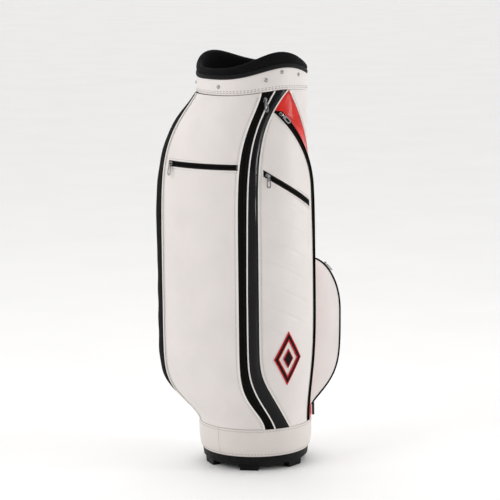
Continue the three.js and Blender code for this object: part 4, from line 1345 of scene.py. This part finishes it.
keep("base_cup", "moulded_plastic", 1.2, 3)
keep("club_tube", "moulded_plastic")
keep("collar_hoop", "moulded_plastic")
keep("body_padding", "foam")
keep("divider_frame", "divider_cloth", 2.0, 3)
keep("side_tab", "handle_leather", 1.0, 2)
for name in ("strap_ring_high_tab", "strap_ring_low_tab"):
    keep(name, "handle_leather", 0.8, 2)
for name in ("left_zip", "front_zip", "pocket_zip", "slant_zip", "ball_zip"):
    keep(f"{name}_slider", "chrome", 0.35, 2)
    keep(f"{name}_pull", "chrome", 0.35, 2)
for name in ("strap_ring_high", "strap_ring_low"):
    keep(name, "chrome")

# ---- cloth partitions inside the tube ----
def partition(name, start, end, stands):
    low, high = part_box(stands)
    z = np.linspace(low[2], high[2], 90) / MM
    s = np.linspace(0, 1, 24)
    a, b = np.asarray(start), np.asarray(end)
    line = mix(a[None, :], b[None, :], s[:, None])
    side = np.array([-(b - a)[1], (b - a)[0]]) / np.linalg.norm(b - a)
    x = line[None, :, 0] + 0 * z[:, None]
    y = line[None, :, 1] + 0 * z[:, None]
    p = np.stack([x, y, z[:, None] + 0 * x], -1)
    hang = np.sin(np.pi * s)[None, :] * np.clip((z[-1] - z) / 60, 0, 1)[:, None]
    sway = 0.9 * hang * ripple(p, 160.0, 61)
    p[..., 0] += side[0] * sway
    p[..., 1] += side[1] * sway
    made = sheet_object(name, p, 1.6, "divider_cloth", stands=stands)


partition("partition_middle", (0.8, -107.0), (0.8, 107.0), "divider_center")
for side, s in (("left", -1), ("right", 1)):
    for row, y in (("front", -38.0), ("rear", 38.0)):
        ends = [(s * 1.6, y), (s * 99.5, y)]
        a, b = ends if s > 0 else ends[::-1]
        partition(f"partition_{row}_{side}", a, b, f"divider_{row}_{side}")

finish_stitches()


# ---- floor and light ----
def studio():
    world = bpy.data.worlds.new("studio")
    world.use_nodes = True
    nodes, links = world.node_tree.nodes, world.node_tree.links
    back = nodes["Background"]
    back.inputs["Color"].default_value = (1.0, 0.993, 0.985, 1)
    way = nodes.new("ShaderNodeTexCoord")
    facing = nodes.new("ShaderNodeVectorMath")
    facing.operation = "DOT_PRODUCT"
    facing.inputs[1].default_value = (0.594, 0.804, 0.0)
    grade = nodes.new("ShaderNodeMapRange")
    for key, value in (("From Min", -0.6), ("From Max", 0.75), ("To Min", 0.42), ("To Max", 1.3)):
        grade.inputs[key].default_value = value
    links.new(way.outputs["Generated"], facing.inputs[0])
    links.new(facing.outputs["Value"], grade.inputs["Value"])
    links.new(grade.outputs[0], back.inputs["Strength"])
    bpy.context.scene.world = world
    size = 60.0
    mesh = bpy.data.meshes.new("floor")
    mesh.from_pydata(
        [(-size, -size, 0), (size, -size, 0), (size, size, 0), (-size, size, 0)], [], [(0, 1, 2, 3)]
    )
    g = Graph("floor")
    g.color(g.noise(3, 3), (0.95, 0.95, 0.95), (0.98, 0.98, 0.98))
    g.rough(g.noise(40, 3), 0.6, 0.75)
    g.bump(g.noise(900, 2), 0.1)
    mesh.materials.append(g.material)
    linked("floor", mesh)
    for name, place, wide, tall, power in (
        ("key", (-3.4, 0.3, 2.4), 2.0, 2.2, 44),
        ("strip", (2.3, -2.7, 1.5), 0.5, 1.0, 12),
        ("low_strip", (1.3, -1.3, 0.5), 0.25, 0.5, 5.0),
        ("top", (0.0, 0.3, 3.2), 1.8, 1.8, 8),
    ):
        data = bpy.data.lights.new(name, "AREA")
        data.shape = "RECTANGLE"
        data.size, data.size_y = wide, tall
        data.energy = power
        light = linked(name, data)
        light.location = place
        away = Vector((0, 0, 0.45)) - Vector(place)
        light.rotation_euler = away.to_track_quat("-Z", "Y").to_euler()
    bpy.context.scene.view_settings.view_transform = "Standard"


studio()
